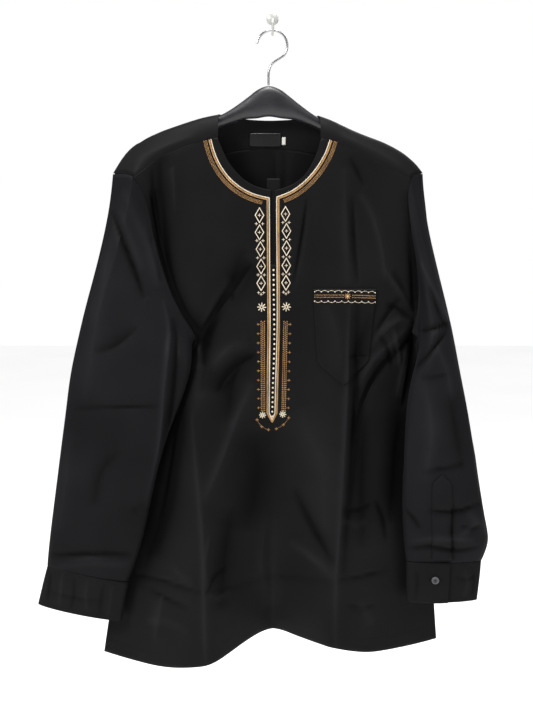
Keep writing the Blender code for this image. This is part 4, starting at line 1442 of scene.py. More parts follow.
@dataclass(frozen=True)
class PocketOrnament:
    """A gold band with a star along the pocket's top, between two rows of cream scallops."""

    left: float = 59.0
    right: float = 144.5
    star_x: float = 105.5
    middle: float = 397.6
    tilt: float = 0.035
    band_aside: float = 1.6
    star_radius: float = 4.6
    star_heart: float = 1.2
    room_left: float = 6.0
    room_right: float = 7.0
    scallop_pitch: float = 9.2
    scallop_up: float = 391.4
    scallop_down: float = 404.6
    scallop_rise: float = 1.9
    swing: tuple[float, ...] = (0.16, 0.33, 0.5, 0.67, 0.84)
    knot_arm: float = 1.1

    def drop_at(self, x: float, drop: float) -> float:
        """Follow the pocket's top edge, which tips down a little to the right."""
        return drop + max(0.0, x - self.star_x) * self.tilt

    def scallops(self, work: Needlework, drop: float, rise: float) -> None:
        """Add a row of scallops.

        Args:
            work: the needlework that they join.
            drop: line of the knots between the scallops.
            rise: how far a scallop swings away from it, downwards if positive.
        """
        count = int((self.right - self.left) / self.scallop_pitch)
        pitch = (self.right - self.left) / count
        for k in range(count + 1):
            x = self.left + k * pitch
            cross(work, FINE_CREAM, x, self.drop_at(x, drop), self.knot_arm)
            if k == count:
                continue
            work.row(SCALLOP_CREAM, [(x + pitch * t, self.drop_at(x + pitch * t, drop)
                                      + rise * math.sin(math.pi * t)) for t in self.swing])

    def gather(self, work: Needlework) -> None:
        """Add the pocket's rows to the needlework.

        Args:
            work: the needlework that they join.
        """
        for start, end in ((self.left, self.star_x - self.room_left),
                           (self.star_x + self.room_right, self.right)):
            for aside, thread in ((-self.band_aside, PLAIT_GOLD),
                                  (self.band_aside, PLAIT_GOLD_BACK)):
                work.row(thread, [(start, self.drop_at(start, self.middle) + aside),
                                  (end, self.drop_at(end, self.middle) + aside)])
        star(work, PETAL_GOLD, self.star_x, self.middle, self.star_radius)
        cross(work, FINE_CREAM, self.star_x, self.middle, self.star_heart)
        self.scallops(work, self.scallop_up, -self.scallop_rise)
        self.scallops(work, self.scallop_down, self.scallop_rise)


@dataclass(frozen=True)
class Seams:
    """Black machine stitching along seams, hems and edges, in x and drop."""

    hem_rise: float = 19.0
    step: float = 6.0
    yoke_rows: tuple[float, float] = (-2.2, -4.6)
    armhole_rows: tuple[float, float] = (3.0, 8.0)
    front_hem: Line = ((-252, 932), (-210, 936), (-167, 938), (-97, 926), (-72, 920), (-49, 910),
                       (-13, 899), (10, 898), (36, 901), (62, 903), (88, 905), (146, 917),
                       (207, 914), (246, 909))
    back_hem: Line = ((-252, 932), (-120, 912), (0, 897), (120, 904), (246, 909))
    front_yoke: tuple[Line, ...] = (
        ((-195, 229), (-184, 222), (-169, 208), (-151, 200), (-137, 192), (-108, 183), (-80, 176)),
        ((68, 177), (90, 184), (113, 192), (137, 208), (173, 222), (192, 232)))
    back_yoke: Line = ((-197, 237), (-150, 216), (-80, 196), (-6, 187), (68, 197), (150, 219),
                       (196, 237))
    armholes_left: tuple[tuple[Face, Line], ...] = (
        (Face.FRONT, ((-185, 243), (-178, 262), (-169, 313), (-162, 343), (-147, 391),
                      (-128, 430), (-112, 452))),
        (Face.BACK, ((-190, 262), (-184, 313), (-176, 350), (-160, 400), (-135, 438),
                     (-114, 452))))
    armholes_right: tuple[tuple[Face, Line], ...] = (
        (Face.FRONT, ((190, 253), (193, 280), (197, 309), (205, 355), (208, 402), (207, 430))),
        (Face.BACK, ((196, 262), (202, 313), (208, 355), (212, 402), (211, 430))))
    back_pleat: tuple[Line, ...] = (((5, 190), (5, 470)), ((19, 190), (19, 470)))

    def gather(self, work: Needlework) -> None:
        """Add every row to the needlework.

        Args:
            work: the needlework that they join.
        """
        lift = np.array([0.0, -self.hem_rise])
        work.row(TOP_STITCH, rounded_path(self.front_hem, self.step) + lift)
        work.row(TOP_STITCH, rounded_path(self.back_hem, self.step) + lift, Face.BACK)
        for line in self.front_yoke:
            for aside in self.yoke_rows:
                work.row(TOP_STITCH, rounded_path(line, self.step) + (0.0, aside))
        for aside in self.yoke_rows:
            work.row(TOP_STITCH, rounded_path(self.back_yoke, self.step) + (0.0, aside), Face.BACK)
        for side, lines in ((1.0, self.armholes_left), (-1.0, self.armholes_right)):
            for face, line in lines:
                for inward in self.armhole_rows:
                    work.row(TOP_STITCH, rounded_path(line, self.step) + (side * inward, 0.0),
                             face)
        for line in self.back_pleat:
            work.row(FINE_STITCH, line, Face.BACK)


@dataclass(frozen=True)
class EndStitching:
    """Stitching of one cuff and its sleeve placket, in x and drop.

    Fields:
        name: the finished piece's name.
        face: the side that the placket is on.
        cuff: the cuff's corners.
        placket: the placket's outline, from one lower end over its point to the other.
        bar_drop: top of the crossed bar that holds the placket down.
        buttonhole: the buttonhole's two ends.
        inset: distance of a row from the edge that it follows.
        bar_height: height of the crossed bar.
        buttonhole_half: half the width of the buttonhole.
    """

    name: str
    face: Face
    cuff: tuple[Spot, Spot, Spot, Spot]
    placket: Line
    bar_drop: float
    buttonhole: tuple[Spot, Spot]
    inset: float = 2.6
    bar_height: float = 6.0
    buttonhole_half: float = 0.9

    def gather(self, work: Needlework) -> None:
        """Add the rows to the needlework.

        Args:
            work: the needlework that they join.
        """
        corners = np.array(self.cuff, dtype=float)
        middle = corners.mean(axis=0)
        inner = corners + np.sign(middle - corners) * self.inset
        for face in Face:
            work.row(FINE_STITCH, [*inner, inner[0]], face)
        outline = np.array(self.placket, dtype=float)
        centre = outline.mean(axis=0)
        drawn = outline + (centre - outline) / np.linalg.norm(
            centre - outline, axis=1, keepdims=True) * self.inset
        work.row(FINE_STITCH, drawn, self.face)
        left, right = drawn[:, 0].min(), drawn[:, 0].max()
        top, foot = self.bar_drop, self.bar_drop + self.bar_height
        for start, end in (((left, top), (right, top)), ((left, foot), (right, foot)),
                           ((left, top), (right, foot)), ((right, top), (left, foot))):
            work.row(FINE_STITCH, [start, end], self.face)
        hole = np.array(self.buttonhole, dtype=float)
        for aside in (-self.buttonhole_half, self.buttonhole_half):
            work.row(BUTTONHOLE_STITCH, beside(hole, aside), self.face)


@dataclass(frozen=True)
class PocketStitching:
    """The double row that sews the pocket on, with the ornament's own edge left free."""

    outline: Line = ((57, 389), (64, 492), (101, 523), (136, 489), (146, 389))
    insets: tuple[float, float] = (2.25, 6.25)
    centre_rise: float = 50.0
    top_stop: float = 1.0

    def gather(self, work: Needlework) -> None:
        """Add the rows to the needlework.

        Args:
            work: the needlework that they join.
        """
        outline = np.array(self.outline, dtype=float)
        centre = outline[1:-1].mean(axis=0) - (0.0, self.centre_rise)
        for inset in self.insets:
            away = outline - centre
            away /= np.linalg.norm(away, axis=1, keepdims=True)
            line = outline - away * inset
            line[0, 1] = line[-1, 1] = outline[0, 1] + self.top_stop
            work.row(FINE_STITCH, line)


# Hard pieces


def lathe(profile: Sequence[tuple[float, float]], steps: int) -> bmesh.types.BMesh:
    """Turn a profile round the Z axis.

    Args:
        profile: radius and height of its points, starting and ending on the axis.
        steps: number of steps round.

    Returns:
        A closed shape.
    """
    shape = bmesh.new()
    rings: list[list[bmesh.types.BMVert]] = []
    for radius, height in profile:
        count = 1 if radius == 0.0 else steps
        rings.append([shape.verts.new((radius * math.cos(2 * math.pi * k / steps),
                                       radius * math.sin(2 * math.pi * k / steps), height))
                      for k in range(count)])
    for first, second in zip(rings, rings[1:]):
        for k in range(steps):
            corners = [first[k % len(first)], first[(k + 1) % len(first)],
                       second[(k + 1) % len(second)], second[k % len(second)]]
            unique = list(dict.fromkeys(corners))
            if len(unique) > 2:
                shape.faces.new(unique)
    bmesh.ops.recalc_face_normals(shape, faces=shape.faces)
    return shape


@dataclass(frozen=True)
class CuffButton:
    """A four-hole cuff button with its crossed thread, in millimetres.

    The profiles of the body and its dark dish are shares of the button's radius and thickness, a
    hole's is a share of its own radius and a height, and the strand's is a share of its size.
    """

    node: str
    face: Face
    radius: float = 5.5
    thick: float = 2.4
    dish_level: float = 0.59
    round_steps: int = 40
    hole_radius: float = 0.62
    hole_aside: float = 1.25
    hole_steps: int = 12
    strand_past_hole: float = 0.35
    strand_half_width: float = 0.42
    strand_half_height: float = 0.30
    strand_lift: float = 0.12
    strand_arch: float = 0.16
    strand_steps: int = 8
    hard_edge_angle: float = 45.0
    profile: Line = (
        (0.0, 0.0), (0.84, 0.0), (0.97, 0.14), (1.0, 0.42), (0.99, 0.66), (0.94, 0.88),
        (0.86, 0.98), (0.78, 0.97), (0.70, 0.84), (0.62, 0.66), (0.50, 0.60), (0.25, 0.59),
        (0.0, 0.59))
    dish: Line = (
        (0.0, 0.5), (0.64, 0.5), (0.645, 0.70), (0.60, 0.655), (0.50, 0.615), (0.25, 0.605),
        (0.0, 0.605))
    hole: Line = (
        (0.0, -0.10), (0.8, -0.08), (1.0, 0.03), (1.22, 0.02), (1.22, -0.2), (0.0, -0.2))
    strand_profile: Line = (
        (0.0, -1.0), (0.55, -0.85), (0.9, -0.4), (1.0, 0.0), (0.9, 0.4), (0.55, 0.85), (0.0, 1.0))

    def placing(self) -> tuple[Vector, Vector]:
        """Find the solid's middle and the way that it faces.

        Returns:
            The middle of its back and the way out of the cloth, in metres.
        """
        points = points_of(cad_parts[self.node].data)
        middle = (points.min(axis=0) + points.max(axis=0)) / 2
        _, _, axes = np.linalg.svd(points - points.mean(axis=0), full_matrices=False)
        way = Vector(axes[2])
        if way.y * self.face.value < 0.0:
            way = -way
        return Vector(middle) - way * self.thick * MM / 2, way

    def build(self) -> bpy.types.Object:
        """Build and dress the button.

        Returns:
            The finished piece.
        """
        base, way = self.placing()
        turn = way.to_track_quat("Z", "Y").to_matrix()
        top = self.dish_level * self.thick * MM
        parts = []
        for profile, finish in ((self.profile, BUTTON_PLASTIC), (self.dish, BUTTON_DARK)):
            sized = [(r * self.radius * MM, h * self.thick * MM) for r, h in profile]
            parts.append((lathe(sized, self.round_steps), finish, Vector()))
        well = [(r * self.hole_radius * MM, top + h * MM) for r, h in self.hole]
        for k in range(4):
            angle = math.pi / 4 + k * math.pi / 2
            spot = Vector((math.cos(angle), math.sin(angle), 0.0)) * self.hole_aside * MM
            parts.append((lathe(well, self.hole_steps), BUTTON_DARK, spot))
        for angle in (math.pi / 4, -math.pi / 4):
            parts.append((self.strand(angle, top), BLACK_THREAD, Vector()))
        meshes = []
        for shape, finish, spot in parts:
            for vert in shape.verts:
                vert.co = base + turn @ (vert.co + spot)
            mesh = bpy.data.meshes.new(self.node + "_part")
            shape.to_mesh(mesh)
            shape.free()
            mesh.materials.append(finish.material())
            mesh.shade_smooth()
            meshes.append(mesh)
        piece = joined(self.node + "_sewn", meshes)
        piece.data.set_sharp_from_angle(angle=math.radians(self.hard_edge_angle))
        finish_trim(piece, [self.node])
        return piece

    def strand(self, angle: float, top: float) -> bmesh.types.BMesh:
        """Make the thread over one pair of holes.

        Args:
            angle: the way that it runs.
            top: height of the button's dish in metres.

        Returns:
            A closed strand.
        """
        shape = lathe(self.strand_profile, self.strand_steps)
        cos, sin = math.cos(angle), math.sin(angle)
        for vert in shape.verts:
            along = vert.co.z * (self.hole_aside + self.strand_past_hole) * MM
            across = vert.co.x * self.strand_half_width * MM
            rise = (self.strand_lift + self.strand_half_height * vert.co.y
                    + self.strand_arch * (1.0 - vert.co.z ** 2))
            vert.co = Vector((along * cos - across * sin, along * sin + across * cos,
                              top + rise * MM))
        bmesh.ops.recalc_face_normals(shape, faces=shape.faces)
        return shape


@dataclass(frozen=True)
class HardPiece:
    """A moulded or bent piece, smoothed on its solid's form."""

    node: str
    name: str
    finish: HardFinish
    slot: Slot
    levels: int = 1
    sharp_angle: float = 50.0

    def build(self) -> bpy.types.Object:
        """Build and dress the piece.

        Returns:
            The finished piece.
        """
        piece = subdivided(self.name, merged_copy(self.node), self.levels, self.sharp_angle)
        set_finish(piece, self.finish)
        finish_trim(piece, [self.node])
        return piece


@dataclass(frozen=True)
class HangerSet:
    """The plastic hanger, its wire hook and the wall hook that carries them."""

    pieces: tuple[HardPiece, ...] = (
        HardPiece("hanger", "hanger_moulded", HANGER_PLASTIC, Slot.HANGER, levels=2),
        HardPiece("hanger_hook", "hanger_wire", WIRE_METAL, Slot.WIRE, levels=2),
        HardPiece("wall_plate", "wall_plate_moulded", HOOK_PLASTIC, Slot.HOOK),
        HardPiece("wall_peg", "wall_peg_moulded", HOOK_PLASTIC, Slot.HOOK, levels=2),
    )

    def build(self) -> list[bpy.types.Object]:
        """Build every piece of the set.

        Returns:
            The finished pieces.
        """
        return [piece.build() for piece in self.pieces]


# The studio


def place_towards(item: bpy.types.Object, place: Sequence[float], aim: Sequence[float]) -> None:
    """Put a light or a camera into the scene so that it looks at a point.

    Args:
        item: the light or the camera.
        place: where it stands.
        aim: what it looks at.
    """
    item.location = place
    item.rotation_euler = (Vector(aim) - Vector(place)).to_track_quat("-Z", "Y").to_euler()
    bpy.context.scene.collection.objects.link(item)


@dataclass(frozen=True)
class SoftBox:
    """A large soft light that looks at the shirt's middle, in metres."""

    name: str
    place: Triple
    width: float
    height: float
    watts: float
    aim: Triple = (0.0, 0.0, -0.5)

    def build(self) -> bpy.types.Object:
        """Hang the light.

        Returns:
            The light.
        """
        lamp = bpy.data.lights.new(self.name, "AREA")
        lamp.shape = "RECTANGLE"
        lamp.size = self.width
        lamp.size_y = self.height
        lamp.energy = self.watts
        light = bpy.data.objects.new(self.name, lamp)
        place_towards(light, self.place, self.aim)
        return light


@dataclass(frozen=True)
class Studio:
    """A pale floor and a white surround, soft lights and the camera, in metres."""

    floor_height: float = -1.32
    floor_reach: float = 9.0
    floor_steps: int = 12
    floor_colour: tuple[float, float, float, float] = (0.88, 0.88, 0.88, 1.0)
    floor_roughness: tuple[float, float] = (0.6, 0.7)
    floor_worn_scale: float = 1.2
    surround: float = 1.0
    ambient: float = 0.16
    camera_place: Triple = (-0.009, -1.550, -0.330)
    camera_aim: Triple = (-0.009, -0.050, -0.485)
    focal_pixels: float = 1040.0
    frame_pixels: float = 711.0
    sensor: float = 36.0
    nearest: float = 0.05
    lights: tuple[SoftBox, ...] = (
        SoftBox("key_light", (-1.7, -1.6, 1.1), 0.8, 0.8, 58.0),
        SoftBox("fill_light", (1.7, -2.0, 0.3), 1.4, 1.4, 12.0),
        SoftBox("top_light", (0.0, -0.5, 1.5), 1.2, 0.6, 26.0),
        SoftBox("back_light", (0.6, 2.0, 0.8), 1.6, 1.6, 30.0),
    )
    overhead: float = 3.1
    overhead_angle: float = math.radians(20.0)

    def floor(self) -> bpy.types.Object:
        """Lay the pale floor.

        Returns:
            The floor.
        """
        shape = bmesh.new()
        bmesh.ops.create_grid(shape, x_segments=self.floor_steps, y_segments=self.floor_steps,
                              size=self.floor_reach)
        for vert in shape.verts:
            vert.co.z = self.floor_height
        mesh = bpy.data.meshes.new("studio_floor")
        shape.to_mesh(mesh)
        shape.free()
        made, nodes, shader = start_material("pale_floor")
        place = nodes.node("ShaderNodeTexCoord")
        worn = ShaderGroups.place(nodes, "handling", Vector=place.outputs["Object"],
                                  Size=self.floor_worn_scale)
        nodes.feed(shader.inputs["Roughness"],
                   nodes.spread(worn.outputs["Broad"], 0.0, 1.0, *self.floor_roughness))
        shader.inputs["Base Color"].default_value = self.floor_colour
        mesh.materials.append(made)
        floor = link("studio_floor", mesh)
        return floor

    def overhead_light(self) -> None:
        """Hang a soft light far above, which keeps the whole floor pale."""
        lamp = bpy.data.lights.new("overhead_light", "SUN")
        lamp.energy = self.overhead
        lamp.angle = self.overhead_angle
        bpy.context.scene.collection.objects.link(bpy.data.objects.new("overhead_light", lamp))

    def sky(self) -> None:
        """Set the white surround: bright to look at, softer as a light."""
        world = bpy.data.worlds.new("studio_surround")
        bpy.context.scene.world = world
        world.use_nodes = True
        hand = NodeTree(world.node_tree)
        path = hand.node("ShaderNodeLightPath")
        strength = hand.spread(path.outputs["Is Camera Ray"], 0.0, 1.0, self.ambient,
                               self.surround)
        background = world.node_tree.nodes["Background"]
        background.inputs["Color"].default_value = (1.0, 1.0, 1.0, 1.0)
        hand.feed(background.inputs["Strength"], strength)

    def camera(self) -> bpy.types.Object:
        """Stand the camera where the photograph was taken from.

        Returns:
            The camera.
        """
        lens = bpy.data.cameras.new("photo_camera")
        lens.sensor_width = self.sensor
        lens.lens = self.sensor * self.focal_pixels / self.frame_pixels
        lens.clip_start = self.nearest
        camera = bpy.data.objects.new("photo_camera", lens)
        place_towards(camera, self.camera_place, self.camera_aim)
        bpy.context.scene.camera = camera
        return camera

    def build(self) -> None:
        """Set up the floor, the surround, the lights and the camera."""
        self.floor()
        self.sky()
        for light in self.lights:
            light.build()
        self.overhead_light()
        self.camera()
        bpy.context.scene.view_settings.view_transform = "Standard"


# The shirt


# Here the panels and the sleeves reach out to each other, so that no light shows between them
ARMPITS = (Gusset(-140, 440, 60, 1.6), Gusset(204, 471, 60, 7.0))

# Each crease's path in x and drop, half width, height and, where it has one, lean

FRONT_CREASES = creases(
    # The left shoulder and armhole
    (((-170, 246), (-165, 291), (-162, 333), (-153, 375), (-138, 418), (-118, 452)), 6, -4.5),
    (((-158, 190), (-157, 291), (-149, 375), (-128, 430), (-104, 478), (-98, 540)), 12, -3.6),
    (((-170, 218), (-169, 256), (-168, 295)), 3, -2.0),
    (((-140, 217), (-139, 246), (-138, 280)), 4, 1.6),
    # Pulls from the slit to the left armpit
    (((-40, 330), (-62, 382), (-92, 440), (-104, 500)), 14, -2.4),
    (((-28, 350), (-49, 382), (-72, 411), (-97, 450), (-104, 478)), 9, -4.0),
    (((-61, 372), (-84, 409), (-107, 446)), 6, 2.6),
    (((-21, 479), (-47, 492), (-68, 515), (-81, 538)), 8, -3.4),
    (((-33, 465), (-61, 475), (-87, 504)), 7, 2.2),
    (((-30, 480), (-56, 520), (-64, 580)), 14, -2.0),
    # Falls of cloth below the left armpit
    (((-114, 500), (-134, 579), (-152, 660), (-168, 730), (-196, 830)), 11, -3.2),
    (((-140, 560), (-150, 660), (-170, 780)), 14, -2.8),
    (((-28, 522), (-53, 580), (-78, 645), (-101, 693)), 8, 3.0),
    # Broad falls down the middle
    (((-30, 590), (-22, 660), (-40, 740)), 30, -2.6),
    (((34, 560), (70, 640), (74, 740)), 26, 2.0),
    (((22, 758), (56, 777), (90, 801)), 5, 2.2),
    (((29, 675), (56, 729), (88, 783)), 6, -2.6),
    (((-58, 702), (-70, 776), (-73, 850)), 14, -2.2),
    (((-7, 717), (-15, 790), (-4, 864)), 16, 1.8),
    # Creases that packing left: two upright ones and one that crosses them
    (((-117, 564), (-111, 625), (-104, 698), (-100, 746), (-98, 824), (-95, 936)), 3.6, 3.0),
    (((110, 398), (107, 460), (106, 518), (101, 630), (95, 733), (91, 808), (92, 918)), 4, 3.0),
    (((120, 403), (120, 468), (119, 525), (114, 630), (106, 723), (101, 801)), 7, -3.2),
    (((-208, 809), (-155, 812), (-95, 823)), 3, -1.8),
    (((-96, 823), (-4, 817), (92, 804)), 4, -0.8),
    (((91, 804), (133, 801), (174, 796)), 3, -1.8),
    # Small crumples where they cross
    (((-94, 822), (-84, 800), (-66, 786)), 3, -1.8),
    (((-94, 824), (-78, 830), (-58, 826)), 3, 1.8),
    (((-92, 818), (-96, 780), (-90, 740)), 3, 1.8),
    (((98, 700), (120, 704), (142, 696)), 3, -2.0),
    (((96, 716), (118, 724), (138, 720)), 3, 1.8),
    (((148, 690), (160, 720), (166, 752)), 4, -2.2),
    # The chest, round the pocket
    (((48, 260), (41, 312), (29, 381)), 3, -2.2, 1.4),
    (((113, 257), (116, 319), (121, 381)), 3.2, -2.2, -1.4),
    (((101, 218), (103, 305), (107, 386)), 6, 1.6),
    (((122, 254), (140, 284), (154, 329), (160, 378)), 4, 2.0),
    (((108, 203), (118, 221), (129, 245)), 4, -1.8),
    (((107, 485), (122, 482), (137, 483)), 2.6, -1.3),
    # The right armhole
    (((196, 250), (200, 340), (202, 420), (196, 480)), 9, -2.6),
    (((191, 246), (198, 305), (203, 361), (205, 421)), 5, -3.8),
    # The fan of folds at the right armpit
    (((205, 445), (189, 468), (155, 499), (134, 535), (120, 576), (116, 608)), 3.6, -4.2),
    (((201, 436), (179, 458), (146, 486), (121, 527)), 5, 2.8),
    (((206, 448), (200, 489), (194, 525), (188, 559)), 4.2, -4.6),
    (((194, 465), (189, 504), (181, 547)), 4, 2.8),
    (((203, 439), (181, 432), (160, 446), (139, 469)), 4, 2.4),
    (((182, 398), (164, 422), (146, 449)), 3.4, -2.4),
    (((205, 435), (191, 403), (173, 382), (157, 358)), 4, 2.2),
    (((201, 421), (185, 389), (170, 361)), 3.4, -2.2),
    (((152, 452), (164, 470), (172, 500)), 2.8, -2.6),
    (((172, 444), (180, 470), (184, 500)), 2.8, 2.6),
    (((160, 410), (176, 414), (196, 430)), 3, -2.4),
    # Falls of cloth below the right armpit
    (((133, 560), (128, 650), (130, 760)), 13, -2.4),
    (((185, 560), (176, 640), (172, 730)), 14, -3.0),
    # Crumples above the hem
    (((-180, 826), (-150, 838), (-120, 844)), 3.4, -1.8),
    (((-160, 828), (-165, 862), (-172, 900)), 3, 1.6),
    (((-150, 782), (-130, 800), (-112, 808)), 3, 1.6),
    (((-186, 870), (-150, 868), (-118, 878)), 4, 1.3),
    (((-163, 835), (-175, 879)), 7, 1.5),
    (((106, 840), (130, 850), (150, 846)), 3.4, -1.5),
    (((126, 835), (144, 876)), 8, 1.5),
)

BACK_CREASES = creases(
    (((-120, 240), (-128, 400), (-140, 620), (-150, 900)), 9, 2.0, 2.2),
    (((120, 240), (124, 420), (130, 640), (138, 900)), 9, 2.0, -2.2),
    (((7, 178), (8, 240), (8, 340), (6, 520)), 2.6, 3.0, 1.6),
    (((19, 178), (18, 240), (19, 340), (20, 520)), 2.6, 3.0, -1.6),
    (((-115, 470), (-70, 430), (-30, 370)), 13, 2.8, 1.6),
    (((200, 470), (150, 430), (110, 370)), 13, 2.8, -1.6),
    (((-170, 812), (-60, 820), (60, 816), (190, 806)), 6, -1.8, 1.0),
    (((-90, 560), (-60, 680), (-66, 830)), 16, -2.4, 1.6),
    (((70, 560), (56, 690), (66, 850)), 16, -2.4, 1.6),
    face=Face.BACK)

LEFT_SLEEVE_CREASES = creases(
    # The armhole and the upper arm
    (((-215, 249), (-196, 284), (-174, 333), (-163, 389)), 9, 2.4),
    (((-230, 277), (-213, 319), (-198, 358), (-182, 404)), 3.6, -3.4),
    (((-218, 274), (-201, 319), (-183, 364)), 6, 2.0),
    (((-234, 312), (-252, 446), (-270, 550)), 12, 1.6),
    (((-192, 443), (-224, 468), (-256, 478)), 7, -1.6),
    # Folds beside the body
    (((-156, 404), (-147, 451), (-153, 518), (-163, 616), (-181, 703)), 3.4, 3.0),
    (((-142, 429), (-137, 468), (-143, 540), (-156, 620)), 5, -3.0),
    (((-175, 706), (-191, 701), (-204, 709)), 3, -1.6),
    # The lower arm and the gathers above the cuff
    (((-286, 559), (-227, 556), (-159, 553)), 3, -1.8),
    (((-218, 617), (-247, 650), (-257, 701)), 8, -1.6),
    (((-292, 591), (-299, 664), (-310, 738)), 9, 1.4),
    (((-325, 777), (-281, 773), (-237, 771), (-202, 773)), 5, -2.4),
    (((-314, 792), (-259, 783), (-208, 786)), 5, 2.0),
) + creases(
    (((-240, 330), (-250, 450), (-268, 600), (-285, 740)), 12, 2.4, 1.8),
    (((-180, 420), (-190, 520), (-210, 640)), 10, -2.4, 1.6),
    (((-290, 560), (-230, 570), (-150, 566)), 6, -1.8, 1.2),
    (((-300, 680), (-262, 700), (-215, 690)), 12, 2.0, 1.2),
    face=Face.BACK)

RIGHT_SLEEVE_CREASES = creases(
    # The upper arm and the bend
    (((222, 300), (236, 350), (246, 400)), 3, -1.4),
    (((207, 349), (232, 400), (255, 449)), 4, 2.4),
    (((222, 384), (235, 424), (247, 445)), 4, -1.8),
    (((206, 449), (230, 441), (254, 431)), 3.2, -2.4),
    (((250, 438), (225, 470), (198, 503)), 3.6, -2.6),
    (((230, 470), (244, 500), (252, 540)), 4, 1.6),
    (((206, 513), (228, 509), (249, 506)), 3.2, -1.6),
    # The lower arm
    (((214, 523), (224, 588), (216, 660)), 8, 1.8),
    (((248, 530), (259, 588), (270, 646)), 8, -1.6),
    (((210, 646), (242, 640), (273, 635)), 4, -2.0),
    (((220, 701), (262, 703), (300, 694)), 3.6, -2.2),
    # Gathers above the cuff
    (((185, 686), (183, 733), (186, 772)), 4, -2.0),
    (((186, 700), (200, 712), (212, 730)), 3, -2.0),
    (((258, 689), (256, 733), (260, 778)), 3.4, -2.0),
    (((262, 742), (276, 736), (292, 716)), 3, 1.6),
    (((268, 724), (284, 730), (301, 726)), 2.6, -1.6),
    (((277, 707), (298, 722), (307, 739)), 6, 1.8),
    (((198, 747), (241, 742), (290, 745)), 4, 1.8),
    (((191, 761), (227, 755), (263, 761), (299, 757)), 3.2, -2.0),
) + creases(
    (((230, 330), (244, 430), (250, 560), (262, 700)), 10, 2.4, 1.8),
    (((214, 420), (236, 500), (272, 560)), 9, -2.2, 1.4),
    (((290, 640), (250, 660), (200, 650)), 9, 2.0, 1.2),
    face=Face.BACK)

YOKE_CREASES = creases(
    (((-200, 206), (-160, 190), (-110, 172)), 7, 1.0, 0.8),
    (((96, 172), (140, 192), (186, 216)), 7, 1.0, 0.8),
)

CUFF_LEFT_CREASES = creases(
    (((-324, 802), (-328, 826), (-331, 850)), 3, -1.3),
    (((-306, 800), (-309, 826), (-312, 852)), 3, 1.3),
    (((-288, 806), (-290, 834), (-296, 858)), 3, -1.1),
    (((-268, 808), (-272, 832), (-270, 858)), 3.4, 1.2),
    (((-244, 814), (-250, 840), (-252, 864)), 3, -1.2),
    (((-232, 816), (-236, 842), (-240, 866)), 3, 1.0),
    (((-330, 830), (-290, 838), (-250, 842)), 4, -0.8),
) + creases(
    (((-300, 806), (-304, 850)), 3, 1.0),
    (((-232, 820), (-238, 862)), 3, -1.0),
    face=Face.BACK)

CUFF_RIGHT_CREASES = creases(
    (((208, 788), (210, 812), (206, 834)), 3, -1.1),
    (((276, 786), (281, 808), (277, 832)), 3.2, 1.1),
    (((288, 786), (291, 810), (288, 832)), 3, -1.0),
    (((262, 800), (280, 806), (296, 802)), 3, -0.8),
) + creases(
    (((220, 792), (224, 832)), 3, 1.0),
    (((270, 792), (266, 832)), 3, -1.0),
    face=Face.BACK)

POCKET_CREASES = creases(
    (((78, 408), (92, 450), (98, 505)), 8, 0.9, 0.8),
    (((140, 420), (126, 455), (118, 495)), 7, -0.9, 0.8),
)


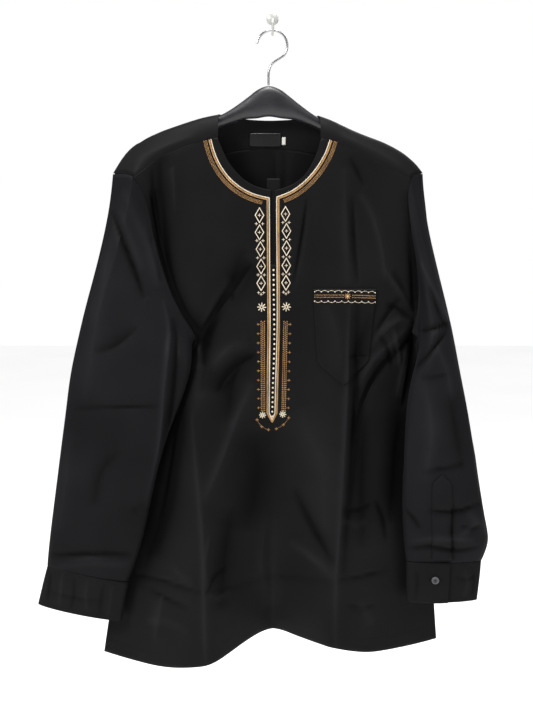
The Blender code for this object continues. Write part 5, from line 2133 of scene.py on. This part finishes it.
@dataclass(frozen=True)
class Shirt:
    """The shirt: its cut pieces, its sewing and its ornaments."""

    pieces: tuple[ClothPiece, ...] = (
        ClothPiece("front", BLACK_CLOTH, (0.62, 0.74), 0.300, 3, FRONT_CREASES, 0.9,
                   gussets=ARMPITS, rests_on=("yoke",)),
        ClothPiece("back", BLACK_CLOTH, (0.56, 0.75), 0.294, 2, BACK_CREASES, 0.9, face=Face.BACK,
                   gussets=ARMPITS, rests_on=("yoke",)),
        ClothPiece("yoke", BLACK_CLOTH, (0.46, 0.14), 0.034, 2, YOKE_CREASES, 0.5,
                   rests_on=("hanger",)),
        ClothPiece("sleeve_left", LEFT_SLEEVE_LIT_CLOTH, (0.34, 0.62), 0.149, 3,
                   LEFT_SLEEVE_CREASES, 1.0, tube=True, gussets=ARMPITS, rests_on=("yoke",)),
        ClothPiece("sleeve_right", RIGHT_SLEEVE_LIT_CLOTH, (0.30, 0.58), 0.095, 3,
                   RIGHT_SLEEVE_CREASES, 1.0, tube=True, gussets=ARMPITS, rests_on=("yoke",)),
        ClothPiece("cuff_left", CUFF_LIT_CLOTH, (0.27, 0.065), 0.017, 3, CUFF_LEFT_CREASES, 0.4,
                   tube=True),
        ClothPiece("cuff_right", CUFF_LIT_CLOTH, (0.25, 0.065), 0.015, 3, CUFF_RIGHT_CREASES, 0.4,
                   tube=True),
        ClothPiece("sleeve_placket_left", LEFT_SLEEVE_LIT_CLOTH, (0.028, 0.14), 0.0036, 2,
                   LEFT_SLEEVE_CREASES, 1.0, face=Face.BACK, calm=0.0),
        ClothPiece("sleeve_placket_right", RIGHT_SLEEVE_LIT_CLOTH, (0.028, 0.13), 0.0033, 2,
                   RIGHT_SLEEVE_CREASES, 1.0, calm=0.0),
        ClothPiece("pocket", BLACK_CLOTH, (0.092, 0.136), 0.0095, 2,
                   FRONT_CREASES + POCKET_CREASES, 0.9, calm=0.0),
        ClothPiece("placket_under", BLACK_CLOTH, (0.02, 0.14), 0.0025, 2, (), 0.2),
        ClothPiece("neck_label", LABEL_SATIN, (0.045, 0.018), 0.0008, 2, (), 0.1,
                   slot=Slot.LABEL, held="laid", rests_on=("yoke",)),
    )
    ends: tuple[EndStitching, ...] = (
        EndStitching("left_end_stitching", Face.BACK,
                     ((-331, 796), (-213, 817), (-224, 873), (-346, 852)),
                     ((-272, 796), (-272, 676), (-259, 664), (-246, 676), (-258, 800)), 690,
                     ((-268, 838), (-246, 834))),
        EndStitching("right_end_stitching", Face.FRONT,
                     ((303, 781), (195, 783), (196, 840), (298, 838)),
                     ((230, 776), (227, 664), (240, 652), (253, 664), (256, 776)), 704,
                     ((224, 806), (244, 806))),
    )
    buttons: tuple[CuffButton, ...] = (CuffButton("cuff_button_left", Face.BACK),
                                       CuffButton("cuff_button_right", Face.FRONT))
    label_row: Line = ((-31.5, 167.5), (10.5, 167.5), (10.5, 182.5), (-31.5, 182.5),
                       (-31.5, 167.5))

    def build(self) -> None:
        """Build the cloth, then the sewing that lies on it."""
        shells = {}
        for piece in self.pieces:
            shells[piece.node] = piece.build()
            report(shells[piece.node])
        cloth = Surface(*(shells[p.node] for p in self.pieces if p.node != "neck_label"))
        for name, ornament, surface in (
                ("neck_embroidery", NeckOrnament(), cloth),
                ("slit_embroidery", SlitOrnament(), cloth),
                ("pocket_embroidery", PocketOrnament(), Surface(shells["pocket"])),
                ("seam_stitching", Seams(), cloth),
                ("pocket_stitching", PocketStitching(), Surface(shells["pocket"]))):
            work = Needlework(name)
            ornament.gather(work)
            report(work.build(surface))
        self.sew_ends(cloth)
        self.sew_label(shells["neck_label"])

    def sew_ends(self, cloth: Surface) -> None:
        """Stitch both sleeve ends and sew on their buttons.

        Args:
            cloth: the cloth under the stitches.
        """
        for end in self.ends:
            work = Needlework(end.name)
            end.gather(work)
            report(work.build(cloth))
        for button in self.buttons:
            report(button.build())

    def sew_label(self, label: bpy.types.Object) -> None:
        """Stitch the bare label down and dress the small tab beside it.

        Args:
            label: the label's shell.
        """
        work = Needlework("label_stitching")
        work.row(FINE_STITCH, self.label_row)
        report(work.build(Surface(label), Slot.LABEL))
        tab = subdivided("size_tab_tape", merged_copy("size_tab"), 2, CUT_EDGE_ANGLE)
        set_finish(tab, TAB_TAPE)
        finish_trim(tab, ["size_tab"])
        report(tab)


def report(piece: bpy.types.Object) -> None:
    """Log a finished piece and its triangle count."""
    triangles = sum(len(polygon.vertices) - 2 for polygon in piece.data.polygons)
    log.info("%s: %d triangles", piece.name, triangles)


def main() -> None:
    """Dress the shirt, its hanger and the hook, and set up the studio."""
    logging.basicConfig(level=logging.INFO, format="%(name)s: %(message)s")
    Shirt().build()
    for piece in HangerSet().build():
        report(piece)
    Studio().build()


if __name__ == "__main__":
    main()
